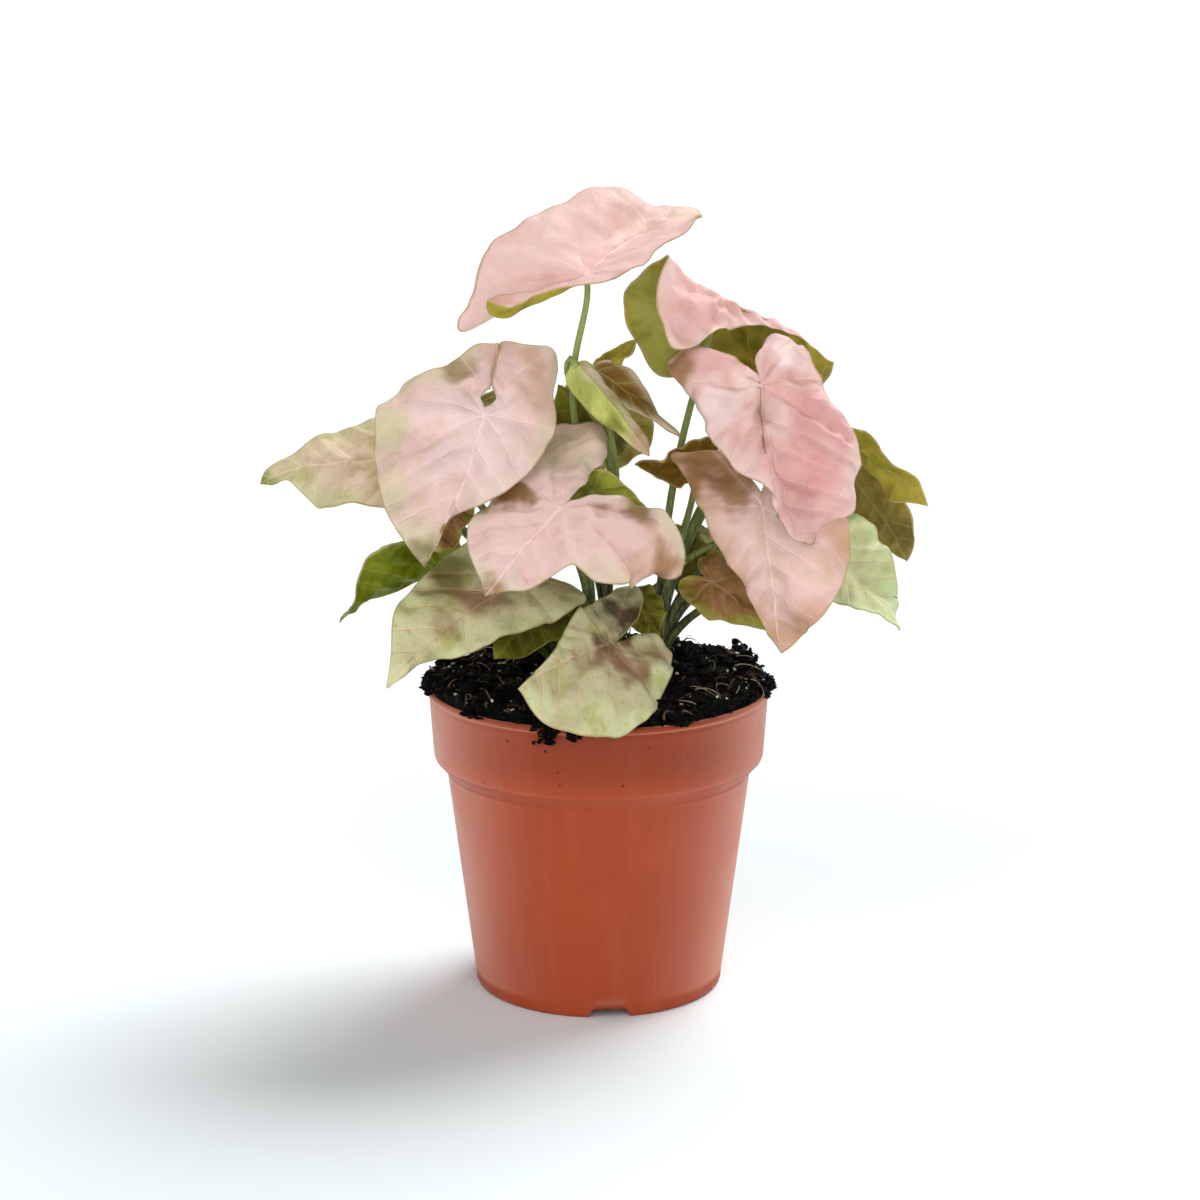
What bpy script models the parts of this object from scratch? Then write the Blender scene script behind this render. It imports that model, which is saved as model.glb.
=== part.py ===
"""Arrowhead plant in a nursery pot: pot, soil, crowns of leaf stalks and every leaf blade.

Metres, +Z up. The pot stands on z = 0 with its axis on the Z axis, and the plant is seen from -Y.
"""

import math

import bmesh
import bpy
import numpy as np
from mathutils import Vector

# Pot: the driving sizes
POT_HEIGHT = 0.110
RIM_RADIUS = 0.0613
BAND_FOOT_RADIUS = 0.0588
BAND_FOOT_Z = 0.0835
BODY_TOP_RADIUS = 0.0541
BODY_TOP_Z = 0.0795
FOOT_RADIUS = 0.0444
WALL = 0.0013
LIP_WIDTH = 0.0010
LIP_DEPTH = 0.0022
BASE_RAISE = 0.0045
FOOT_EDGE = 0.0012
FOOT_RING_WIDTH = 0.0045
NOTCHES = 3
NOTCH_WIDTH = 0.0125
NOTCH_HEIGHT = 0.0034
NOTCH_TURN = math.radians(5)
DRAIN_HOLES = 6
DRAIN_RADIUS = 0.004
DRAIN_RING = 0.024
POT_STEPS = 48

# Soil: it fills the pot to just over its rim
SOIL_GAP = 0.0003
SOIL_EDGE_Z = POT_HEIGHT + 0.0008
SOIL_RISE = 0.003
SOIL_LUMP = 0.0013
SOIL_RINGS = 9
SOIL_STEPS = 40

# Blades and stalks
BLADE_THICKNESS = 0.0008
WAVE = 0.0008
BLADE_STALK_GAP = 0.0004
STALK_RADIUS_TOP = 0.0011
STALK_RADIUS_FOOT = 0.0019
STALK_STEPS = 9
STALK_SPREAD = 0.0009
STALK_SINK = 0.004
STALK_NECK = 0.0025
INLINE_STAND = 0.032
SHEATH_RADIUS = 0.0045
SHEATH_DEPTH = 0.016
SHEATH_TOP_RADIUS = 0.0036
SHEATH_STAND = 0.008
SHEATH_SIDES = 12
HOLE_GAP = 0.0003
HOLE_CUT = 0.02
LARGE_GRID = (14, 3)
SMALL_GRID = (8, 3)

# Half outlines of a blade from its tip to its sinus: degrees off the midrib, then reach in hundredths of
# the blade's length
PLAIN = ((12, 80), (28, 65), (50, 55), (80, 47), (112, 43), (138, 43), (156, 35), (170, 18))
LANCE = ((8, 86), (16, 66), (28, 46), (48, 30), (80, 20), (120, 15), (155, 11))
ROLLED = ((8, 86), (16, 66), (28, 46), (48, 30), (80, 18), (110, 10), (150, 5))

USUAL = dict(left=PLAIN, right=PLAIN, notch=6, droop=30, hook=0, sway=0, skew=0, fold=(8, 8), curl=(20, 20),
             back=(20, 20), grid=LARGE_GRID, lean=(0, 0), inline=False)

# Each blade: where its stalk joins, where its tip is, and the way its upper face looks, as degrees round from
# the front and degrees up. droop, hook and sway bend the midrib, in degrees. fold raises, curl rolls and back
# bends down the lobe of the left and right halves. skew slides the lobes to one side. lean pushes the middle
# of the stalk aside, in metres, and an inline stalk runs on from the midrib.
BLADES = {
    "leaf_top": dict(
        crown="back", colour="pink", junction=(-0.0045, 0.000, 0.256), tip=(0.037, 0.040, 0.270),
        face=(-20, 70), lean=(-0.018, -0.012), droop=15, hook=30, sway=30, skew=-1.4, notch=8,
        fold=(50, 14), curl=(25, 10), back=(35, 5),
        left=((6, 101), (11, 93), (19, 82), (28, 73), (38, 60), (51, 50), (67, 46), (84, 49), (99, 51),
              (111, 45), (137, 39), (150, 40), (165, 45), (175, 47), (179, 34)),
        right=((18, 84), (30, 66), (43, 46), (60, 38), (80, 34), (105, 26), (130, 26), (140, 50), (144, 74),
               (152, 66), (158, 45), (168, 28), (177, 18))),
    "leaf_left_big": dict(
        crown="left", colour="pink", junction=(-0.039, -0.030, 0.212), tip=(-0.058, -0.052, 0.163),
        face=(-8, 25), lean=(-0.030, 0.030), droop=25, sway=18, fold=(-15, 8), curl=(25, 25), back=(3, 15),
        left=((1, 72), (9, 57), (35, 47), (58, 43), (83, 42), (107, 45), (122, 48), (134, 57), (145, 71),
              (152, 71), (158, 63), (167, 57), (173, 46), (176, 24)),
        right=((6, 97), (16, 90), (29, 84), (52, 73), (76, 67), (92, 64), (110, 60), (124, 48), (141, 44),
               (165, 53), (174, 56), (177, 44), (178, 24))),
    "leaf_front_centre": dict(
        crown="middle", colour="pink", junction=(-0.013, -0.040, 0.182), tip=(-0.037, -0.068, 0.157),
        face=(5, 48), lean=(0.006, 0.012), droop=25, fold=(0, 5), curl=(20, 20), back=(8, 8),
        left=((6, 86), (17, 73), (39, 55), (51, 60), (58, 70), (66, 78), (75, 79), (86, 76), (92, 84),
              (100, 96), (105, 107), (111, 109), (118, 103), (124, 95), (131, 82), (138, 66), (148, 57),
              (157, 41), (163, 25)),
        right=((10, 92), (24, 82), (40, 73), (63, 60), (90, 60), (120, 75), (146, 106), (158, 102),
               (168, 106), (174, 95), (177, 55), (179, 20))),
    "leaf_right_big": dict(
        crown="right", colour="rose", junction=(0.056, -0.008, 0.219), tip=(0.071, -0.028, 0.168),
        face=(-4, 25), lean=(0.000, 0.030), droop=30, hook=25, sway=-16, fold=(-5, 8), curl=(25, 25),
        back=(30, 5),
        left=((6, 108), (14, 110), (22, 104), (32, 92), (45, 76), (59, 57), (80, 43), (105, 37), (130, 38),
              (150, 43), (163, 42), (170, 26)),
        right=((3, 97), (6, 92), (7, 82), (8, 68), (25, 56), (41, 48), (65, 42), (92, 44), (112, 60),
               (127, 48), (140, 32), (150, 18))),
    "leaf_right_low": dict(
        crown="right", colour="tan", junction=(0.057, -0.012, 0.176), tip=(0.062, -0.038, 0.130),
        face=(0, 20), lean=(-0.030, 0.000), droop=20, curl=(15, 15), back=(10, 10),
        left=((5, 96), (17, 85), (30, 78), (44, 71), (58, 63), (80, 54), (105, 48), (130, 50), (150, 52),
              (163, 40), (170, 20)),
        right=((5, 84), (10, 72), (35, 46), (71, 38), (100, 43), (120, 54), (133, 76), (145, 60), (158, 45),
               (168, 22))),
    "leaf_right_pale": dict(
        crown="right", colour="pale", junction=(0.077, 0.008, 0.159), tip=(0.106, -0.004, 0.130),
        face=(25, 40), droop=25, fold=(10, 10),
        left=((8, 94), (18, 86), (39, 65), (72, 55), (94, 50), (120, 48), (145, 46), (162, 32)),
        right=((12, 80), (34, 58), (60, 50), (90, 46), (120, 46), (145, 44), (162, 30))),
    "leaf_left_far": dict(
        crown="left", colour="tan", junction=(-0.067, 0.008, 0.191), tip=(-0.116, 0.004, 0.180),
        face=(-8, 50), droop=15, hook=110, curl=(25, 25),
        left=((3, 94), (4, 84), (8, 80), (17, 75), (33, 66), (42, 59), (57, 50), (75, 46), (110, 44),
              (145, 42), (165, 24)),
        right=((5, 92), (8, 76), (16, 67), (29, 55), (45, 47), (65, 43), (90, 42), (120, 44), (148, 40),
               (165, 22))),
    "leaf_left_dark": dict(
        crown="left", colour="green", junction=(-0.058, 0.012, 0.150), tip=(-0.092, 0.010, 0.129),
        face=(-170, 40), fold=(5, 5), curl=(15, 20),
        left=((14, 92), (21, 79), (33, 69), (62, 60), (84, 60), (110, 54), (140, 45), (165, 22)),
        right=((3, 80), (8, 58), (16, 38), (30, 25), (70, 20), (120, 26), (150, 24), (168, 14))),
    "leaf_left_low": dict(
        crown="left", colour="khaki", junction=(-0.027, -0.022, 0.151), tip=(-0.072, -0.042, 0.118),
        face=(-12, 40), lean=(-0.030, 0.000), droop=25, sway=-22, fold=(10, 10), curl=(20, 25),
        left=((1, 88), (3, 79), (8, 69), (19, 56), (33, 45), (50, 37), (75, 32), (110, 34), (140, 40),
              (162, 30)),
        right=((6, 86), (23, 71), (34, 61), (50, 54), (63, 49), (78, 44), (105, 42), (135, 46), (155, 40),
               (168, 20))),
    "leaf_front_low": dict(
        crown="middle", colour="khaki", junction=(0.003, -0.038, 0.134), tip=(-0.027, -0.068, 0.125),
        face=(8, 45), droop=25, fold=(5, 14), back=(0, 0),
        left=((9, 98), (21, 100), (32, 102), (44, 99), (59, 87), (81, 70), (108, 58), (135, 57), (156, 62),
              (168, 66), (173, 60), (176, 30)),
        right=((2, 80), (11, 56), (45, 37), (85, 36), (120, 44), (143, 74), (154, 76), (162, 62),
               (168, 36))),
    "leaf_right_folded": dict(
        crown="right", colour="olive", junction=(0.0435, 0.016, 0.246), tip=(0.083, 0.030, 0.220),
        face=(-5, 80), lean=(0.000, 0.018), droop=15, notch=55, fold=(-60, -28), curl=(20, 20),
        back=(-20, -20),
        left=((7, 110), (20, 106), (34, 98), (68, 77), (96, 68), (115, 74), (130, 70), (145, 62),
              (165, 56)),
        right=((2, 84), (4, 66), (8, 53), (18, 34), (36, 27), (70, 26), (95, 34), (106, 54), (112, 66),
               (120, 67), (130, 62), (150, 60), (168, 58))),
    "leaf_centre_under": dict(
        crown="middle", colour="green", junction=(-0.002, -0.013, 0.183), tip=(0.029, -0.022, 0.158),
        face=(165, 25), droop=25,
        left=((12, 80), (28, 62), (50, 50), (80, 38), (112, 28), (140, 22), (165, 12)),
        right=((4, 86), (12, 64), (22, 46), (40, 34), (70, 26), (110, 20), (145, 18), (168, 10))),
    "leaf_right_brown": dict(
        crown="right", colour="tan", junction=(0.040, -0.005, 0.148), tip=(0.064, -0.015, 0.130),
        face=(0, 50), droop=25,
        right=((12, 76), (28, 58), (50, 48), (80, 41), (112, 38), (138, 38), (156, 31), (170, 16))),
    "leaf_far_right": dict(
        crown="right", colour="olive", junction=(0.090, 0.018, 0.193), tip=(0.116, 0.012, 0.171),
        face=(170, 40), lean=(-0.006, 0.012), droop=25, grid=SMALL_GRID,
        left=((5, 87), (13, 71), (18, 50), (32, 34), (60, 26), (100, 24), (140, 24), (165, 14)),
        right=((4, 87), (10, 76), (12, 56), (24, 36), (60, 26), (105, 24), (145, 22), (165, 14))),
    "leaf_far_right_low": dict(
        crown="right", colour="green", junction=(0.091, 0.036, 0.179), tip=(0.112, 0.034, 0.146),
        face=(170, 20), lean=(0.012, 0.012), droop=35,
        left=((4, 84), (11, 62), (21, 48), (40, 40), (80, 36), (120, 36), (150, 30), (168, 16)),
        right=((2, 98), (9, 87), (21, 68), (42, 46), (75, 32), (110, 30), (145, 28), (165, 16))),
    "leaf_young_roll": dict(
        crown="back", colour="young", junction=(-0.007, -0.008, 0.225), tip=(0.018, -0.021, 0.197),
        face=(200, -20), lean=(0.030, 0.006), inline=True, droop=-15, notch=4, fold=(10, 10),
        curl=(-160, -160), back=(0, 0), grid=SMALL_GRID, left=ROLLED, right=ROLLED),
    "leaf_young_back": dict(
        crown="back", colour="young", junction=(-0.001, 0.010, 0.221), tip=(0.028, 0.004, 0.197),
        face=(50, 20), lean=(-0.012, 0.000), inline=True, droop=15, notch=4, fold=(15, 15), curl=(10, 10),
        grid=SMALL_GRID, left=ROLLED, right=ROLLED),
    "leaf_left_small": dict(
        crown="left", colour="khaki", junction=(-0.050, -0.011, 0.176), tip=(-0.057, -0.017, 0.162),
        face=(0, 30), lean=(0.000, 0.018), grid=SMALL_GRID,
        left=((18, 86), (36, 62), (49, 48), (80, 44), (110, 40), (140, 36), (160, 22)),
        right=((9, 89), (31, 60), (55, 50), (85, 44), (112, 40), (138, 36), (160, 22))),
    "leaf_low_left": dict(
        crown="left", colour="green", junction=(-0.017, -0.010, 0.141), tip=(-0.036, -0.022, 0.124),
        face=(-10, 40), grid=SMALL_GRID),
    "leaf_centre_small": dict(
        crown="right", colour="tan", junction=(0.034, 0.013, 0.188), tip=(0.014, 0.006, 0.187),
        face=(175, 15), grid=SMALL_GRID,
        left=((10, 80), (24, 52), (45, 36), (75, 36), (105, 48), (125, 52), (150, 44), (168, 20))),
    "leaf_centre_green": dict(
        crown="back", colour="green", junction=(0.000, 0.016, 0.193), tip=(-0.015, 0.008, 0.216),
        face=(0, 20), grid=SMALL_GRID),
    "leaf_narrow": dict(
        crown="back", colour="tan", junction=(-0.001, 0.016, 0.219), tip=(0.013, 0.016, 0.231),
        face=(120, 25), lean=(0.012, -0.018), grid=SMALL_GRID, left=LANCE, right=LANCE),
    "leaf_low_right": dict(
        crown="right", colour="green", junction=(0.036, 0.018, 0.144), tip=(0.028, 0.022, 0.163),
        face=(0, 20), grid=SMALL_GRID),
    "leaf_deep_middle": dict(
        crown="middle", colour="green", junction=(0.014, -0.004, 0.141), tip=(0.021, -0.010, 0.126),
        face=(10, 40), grid=SMALL_GRID),
    "leaf_back_left": dict(
        crown="left", colour="pink", junction=(-0.043, 0.030, 0.207), tip=(-0.058, 0.064, 0.176),
        face=(-160, 40), lean=(0.000, 0.012)),
    "leaf_back_right": dict(
        crown="right", colour="pink", junction=(0.060, 0.030, 0.207), tip=(0.074, 0.066, 0.176),
        face=(160, 40), lean=(-0.006, 0.000)),
    "leaf_back_centre": dict(
        crown="back", colour="pink", junction=(-0.003, 0.040, 0.196), tip=(-0.009, 0.074, 0.158),
        face=(-175, 40)),
    "leaf_back_low_left": dict(
        crown="back", colour="khaki", junction=(-0.029, 0.034, 0.147), tip=(-0.045, 0.064, 0.125),
        face=(-150, 45), grid=SMALL_GRID),
    "leaf_back_low_right": dict(
        crown="back", colour="khaki", junction=(0.036, 0.032, 0.159), tip=(0.052, 0.062, 0.134),
        face=(150, 45), grid=SMALL_GRID),
}

# Crowns: where each stands in the soil
CROWNS = {
    "left": (-0.014, 0.002),
    "middle": (-0.001, -0.010),
    "right": (0.020, 0.006),
    "back": (0.004, 0.022),
}

# Colour, roughness of each material
LEAF_COLOURS = {
    "pink": (0.80, 0.52, 0.48),
    "rose": (0.82, 0.42, 0.43),
    "tan": (0.66, 0.40, 0.31),
    "pale": (0.50, 0.64, 0.36),
    "khaki": (0.44, 0.46, 0.26),
    "olive": (0.36, 0.36, 0.09),
    "green": (0.12, 0.24, 0.05),
    "young": (0.56, 0.56, 0.20),
}
STALK_COLOUR = (0.20, 0.30, 0.09)
SOIL_COLOUR = (0.018, 0.013, 0.010)
POT_COLOUR = (0.46, 0.11, 0.045)


# Blade form

def unit(vector):
    return vector / np.linalg.norm(vector)


def facing(around, up):
    """Unit vector that looks around degrees to the right of the front and up degrees above level."""
    a, e = math.radians(around), math.radians(up)
    return np.array([math.sin(a) * math.cos(e), -math.cos(a) * math.cos(e), math.sin(e)])


def arc_run(distance, start, turn):
    """Run and rise at a distance along an arc that sets off at start and turns by turn for each unit."""
    turn = np.where(np.abs(turn) < 1e-6, 1e-6, turn)
    run = (np.sin(start + turn * distance) - np.sin(start)) / turn
    rise = (np.cos(start) - np.cos(start + turn * distance)) / turn
    return run, rise


def summed(values, steps):
    """Running integral of values by the trapezium rule."""
    return np.concatenate([[0], np.cumsum((values[1:] + values[:-1]) / 2 * steps)])


def midrib(leaf):
    """Share of the length, run, rise and slope of a midrib that droops evenly and hooks near its tip."""
    share = np.linspace(0, 1.3, 131)
    hooked = np.clip((share - 0.65) / 0.35, 0, 2) ** 2 / 2
    slope = -math.radians(leaf["droop"]) * share - math.radians(leaf["hook"]) * hooked
    steps = np.diff(share)
    return share, summed(np.cos(slope), steps), summed(np.sin(slope), steps), slope


def blade_frame(leaf):
    """Length of the blade, and the forward, right and upper directions at its junction."""
    share, run, rise, _ = midrib(leaf)
    end_run = np.interp(1, share, run)
    end_rise = np.interp(1, share, rise)
    chord = np.array(leaf["tip"]) - np.array(leaf["junction"])
    length = np.linalg.norm(chord) / math.hypot(end_run, end_rise)
    chord = unit(chord)
    upper = facing(*leaf["face"])
    upper = unit(upper - (upper @ chord) * chord)
    right = np.cross(chord, upper)
    pitch = math.atan2(end_rise, end_run)
    forward = chord * math.cos(pitch) - upper * math.sin(pitch)
    upper = upper * math.cos(pitch) + chord * math.sin(pitch)
    half_sway = math.radians(leaf["sway"]) / 2
    ahead = forward * math.cos(half_sway) - right * math.sin(half_sway)
    right = right * math.cos(half_sway) + forward * math.sin(half_sway)
    return length, ahead, right, upper


def blade_point(leaf, across, along):
    """Places of flat blade points, in blade lengths across to the right and along ahead of the junction.

    Each half leaves the midrib at its fold angle and curls down along an arc. Ahead of the junction it rides
    on the midrib's curve, and behind it on an arc that bends the lobes down. The margin waves, and all sways.
    """
    length, ahead, right, upper = blade_frame(leaf)
    share, run, rise, slope = midrib(leaf)
    side = np.where(across >= 0, 1, 0)
    fold = np.radians(np.take(leaf["fold"], side))
    curl = np.radians(np.take(leaf["curl"], side)) / 0.5
    bend = np.radians(np.take(leaf["back"], side)) / 0.45
    out, lift = arc_run(np.abs(across), fold, -curl)
    out = np.where(across >= 0, out, -out)
    angle = np.arctan2(across, along)
    reach = np.clip(np.hypot(across, along) / 0.5, 0, 1.4)
    ripple = np.sin(5 * angle) + 0.6 * np.sin(9 * angle + 1)
    lift = lift + WAVE / length * reach ** 2 * ripple
    fore = np.clip(along, 0, 1.3)
    aft = np.clip(-along, 0, 2)
    out = out + leaf["skew"] * aft ** 2 / (aft + 0.06)
    aft_run, aft_rise = arc_run(aft, 0.0, -bend)
    behind = along < 0
    base_run = np.where(behind, -aft_run, np.interp(fore, share, run))
    base_rise = np.where(behind, aft_rise, np.interp(fore, share, rise))
    tilt = np.where(behind, bend * aft, np.interp(fore, share, slope))
    x = base_run - lift * np.sin(tilt)
    z = base_rise + lift * np.cos(tilt)
    sway = math.radians(leaf["sway"]) or 1e-5
    centre = np.clip(along, -0.3, 1.3)
    turned = sway * centre
    extra = x - centre
    forward_run = np.sin(turned) / sway + extra * np.cos(turned) - out * np.sin(turned)
    side_run = (1 - np.cos(turned)) / sway + extra * np.sin(turned) + out * np.cos(turned)
    place = forward_run[..., None] * ahead + z[..., None] * upper + side_run[..., None] * right
    return np.array(leaf["junction"]) + length * place


def smooth_line(points, count):
    """count + 1 points, evenly spread, on a Catmull-Rom curve through the points."""
    points = np.array(points, float)
    padded = np.vstack([2 * points[0] - points[1], points, 2 * points[-1] - points[-2]])
    travelled = np.concatenate([[0], np.cumsum(np.linalg.norm(np.diff(points, axis=0), axis=1))])
    place = np.interp(np.linspace(0, travelled[-1], count + 1), travelled, np.arange(len(points)))
    first = np.clip(place.astype(int), 0, len(points) - 2)
    t = (place - first)[:, None]
    a, b, c, d = padded[first], padded[first + 1], padded[first + 2], padded[first + 3]
    bend = (2 * a - 5 * b + 4 * c - d) * t**2 + (3 * b - 3 * c + d - a) * t**3
    return 0.5 * (2 * b + (c - a) * t + bend)


def half_outline(leaf, side, count):
    """Flat points of one half's margin, from the tip to the foot of the sinus, in blade lengths."""
    polar = np.array([(0, 100), *leaf[side], (180, leaf["notch"])], float)
    angle = np.radians(polar[:, 0])
    reach = polar[:, 1] / 100
    return smooth_line(np.stack([reach * np.sin(angle), reach * np.cos(angle)], axis=-1), count)


def blade_surface(leaf):
    """Points and triangles of the blade's middle surface: rings about the junction out to the margin."""
    around, rings = leaf["grid"]
    right = half_outline(leaf, "right", around)
    left = half_outline(leaf, "left", around) * (-1, 1)
    margin = np.vstack([right, left[::-1][1:-1]])
    share = np.linspace(0, 1, rings + 1)[1:, None, None]
    flat = np.vstack([[[0, 0]], (share * margin).reshape(-1, 2)])
    points = blade_point(leaf, flat[:, 0], flat[:, 1])
    count = len(margin)
    here = np.arange(count)
    after = (here + 1) % count
    fan = np.stack([np.zeros(count, int), 1 + after, 1 + here], axis=-1)
    faces = [fan]
    for ring in range(rings - 1):
        inner = 1 + ring * count
        outer = inner + count
        faces.append(np.stack([inner + here, inner + after, outer + after], axis=-1))
        faces.append(np.stack([inner + here, outer + after, outer + here], axis=-1))
    return points, np.concatenate(faces)


def stalk_path(leaf, root):
    """Points of a stalk that rises from its root and stops just short of its blade.

    It meets the blade's underside squarely, or an inline blade end on.
    """
    length, ahead, _, upper = blade_frame(leaf)
    onward = ahead if leaf["inline"] else upper
    tent = math.radians(max(0, -min(leaf["fold"])))
    clearance = (BLADE_THICKNESS / 2 + BLADE_STALK_GAP) / math.cos(tent) + STALK_RADIUS_TOP * math.tan(tent)
    if leaf["inline"]:
        clearance += INLINE_STAND * length
    end = np.array(leaf["junction"]) - onward * clearance
    neck = end - onward * STALK_NECK
    span = np.linalg.norm(neck - root)
    rising = root + np.array([0, 0, span * 0.55])
    arriving = neck - unit(onward * 0.6 + np.array([0, 0, 1])) * span * 0.25
    t = np.linspace(0, 1, STALK_STEPS)[:, None]
    curve = (1 - t)**3 * root + 3 * (1 - t)**2 * t * rising + 3 * (1 - t) * t**2 * arriving + t**3 * neck
    curve = curve + 14 * t**3 * (1 - t)**2 * np.array([*leaf["lean"], 0])
    return np.vstack([curve, end])


# Scene and material helpers

def clear_scene():
    for thing in list(bpy.data.objects):
        bpy.data.objects.remove(thing, do_unlink=True)


def new_collection(name):
    collection = bpy.data.collections.new(name)
    bpy.context.scene.collection.children.link(collection)
    return collection


def material(name, colour, roughness):
    made = bpy.data.materials.new(name)
    made.use_nodes = True
    shader = made.node_tree.nodes["Principled BSDF"]
    shader.inputs["Base Color"].default_value = (*colour, 1)
    shader.inputs["Roughness"].default_value = roughness
    shader.inputs["Metallic"].default_value = 0
    return made


def add_mesh(name, points, faces, collection):
    mesh = bpy.data.meshes.new(name)
    mesh.from_pydata([tuple(p) for p in points], [], [tuple(f) for f in faces])
    made = bpy.data.objects.new(name, mesh)
    collection.objects.link(made)
    return made


def add_profile(name, profile, steps, collection):
    """A turned piece. Its profile runs from the axis over the top, down the outer side and back."""
    mesh = bpy.data.meshes.new(name)
    mesh.from_pydata([(r, 0, z) for r, z in profile], [(i, i + 1) for i in range(len(profile) - 1)], [])
    made = bpy.data.objects.new(name, mesh)
    collection.objects.link(made)
    screw = made.modifiers.new("turn", "SCREW")
    screw.steps = steps
    screw.render_steps = steps
    screw.use_merge_vertices = True
    screw.merge_threshold = 0.00001
    screw.use_normal_calculate = True
    return made


def as_helper(thing):
    thing.hide_render = True
    thing.display_type = "WIRE"


def fixed_mesh(thing, collection):
    """The object's evaluated shape as a plain mesh with its caps welded, in place of the object."""
    bpy.context.view_layer.update()
    graph = bpy.context.evaluated_depsgraph_get()
    mesh = bpy.data.meshes.new_from_object(thing.evaluated_get(graph))
    work = bmesh.new()
    work.from_mesh(mesh)
    bmesh.ops.remove_doubles(work, verts=work.verts, dist=0.00001)
    work.to_mesh(mesh)
    work.free()
    made = bpy.data.objects.new(thing.name + ".mesh", mesh)
    made.matrix_world = thing.matrix_world
    collection.objects.link(made)
    bpy.data.objects.remove(thing, do_unlink=True)
    return made


def add_boolean(thing, other, operation):
    cut = thing.modifiers.new(operation.lower(), "BOOLEAN")
    cut.operation = operation
    cut.object = other
    cut.solver = "EXACT"
    as_helper(other)


def add_cylinder(name, radius, low, high, place, sides, collection, top_radius=None):
    mesh = bpy.data.meshes.new(name)
    work = bmesh.new()
    top = top_radius or radius
    bmesh.ops.create_cone(
        work, cap_ends=True, segments=sides, radius1=radius, radius2=top, depth=high - low)
    work.to_mesh(mesh)
    work.free()
    made = bpy.data.objects.new(name, mesh)
    made.location = (place[0], place[1], (low + high) / 2)
    collection.objects.link(made)
    return made


def add_box(name, size, place, turn, collection):
    mesh = bpy.data.meshes.new(name)
    work = bmesh.new()
    bmesh.ops.create_cube(work, size=1)
    bmesh.ops.scale(work, vec=Vector(size), verts=work.verts)
    work.to_mesh(mesh)
    work.free()
    made = bpy.data.objects.new(name, mesh)
    made.location = place
    made.rotation_euler = (0, 0, turn)
    collection.objects.link(made)
    return made


# Pot

def inner_radius(z):
    """Radius of the pot's inside wall at a height."""
    heights = (BASE_RAISE + WALL, BODY_TOP_Z, BAND_FOOT_Z, POT_HEIGHT)
    outer = (FOOT_RADIUS, BODY_TOP_RADIUS, BAND_FOOT_RADIUS, RIM_RADIUS - LIP_WIDTH)
    return float(np.interp(z, heights, outer)) - WALL


def pot_profile():
    floor = BASE_RAISE + WALL
    inside = [(0, floor)]
    inside += [(inner_radius(z), z) for z in (floor, BODY_TOP_Z, BAND_FOOT_Z, POT_HEIGHT)]
    lip = [(RIM_RADIUS, POT_HEIGHT), (RIM_RADIUS, POT_HEIGHT - LIP_DEPTH)]
    lip += [(RIM_RADIUS - LIP_WIDTH, POT_HEIGHT - LIP_DEPTH - LIP_WIDTH)]
    band = [(BAND_FOOT_RADIUS, BAND_FOOT_Z + 0.001), (BAND_FOOT_RADIUS - 0.0008, BAND_FOOT_Z)]
    foot = [(BODY_TOP_RADIUS, BODY_TOP_Z), (FOOT_RADIUS, FOOT_EDGE), (FOOT_RADIUS - FOOT_EDGE, 0)]
    ring = FOOT_RADIUS - FOOT_RING_WIDTH
    return inside + lip + band + foot + [(ring, 0), (ring, BASE_RAISE), (0, BASE_RAISE)]


def build_pot(parts, cutters):
    pot = add_profile("pot", pot_profile(), POT_STEPS, parts)
    for index in range(NOTCHES):
        turn = -math.pi / 2 + NOTCH_TURN + index * math.tau / NOTCHES
        reach = FOOT_RADIUS - FOOT_RING_WIDTH / 2
        place = (reach * math.cos(turn), reach * math.sin(turn), 0)
        size = (FOOT_RING_WIDTH * 3, NOTCH_WIDTH, NOTCH_HEIGHT * 2)
        add_boolean(pot, add_box(f"notch_{index}", size, place, turn, cutters), "DIFFERENCE")
    for index in range(DRAIN_HOLES):
        turn = index * math.tau / DRAIN_HOLES
        place = (DRAIN_RING * math.cos(turn), DRAIN_RING * math.sin(turn))
        top = BASE_RAISE + WALL * 2
        hole = add_cylinder(f"drain_{index}", DRAIN_RADIUS, -0.01, top, place, 12, cutters)
        add_boolean(pot, hole, "DIFFERENCE")
    pot.data.materials.append(material("pot_plastic", POT_COLOUR, 0.45))
    return pot


# Soil

def soil_height(x, y):
    """Height of the soil's top: a low mound with lumps that are half as high at the wall."""
    share = np.clip(np.hypot(x, y) / inner_radius(SOIL_EDGE_Z), 0, 1)
    lumps = np.sin(310 * x + 1.3) * np.sin(270 * y + 0.4) + 0.6 * np.sin(520 * x - 430 * y)
    return SOIL_EDGE_Z + SOIL_RISE * (1 - share**2) + SOIL_LUMP * lumps * (1 - share**4 / 2)


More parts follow.
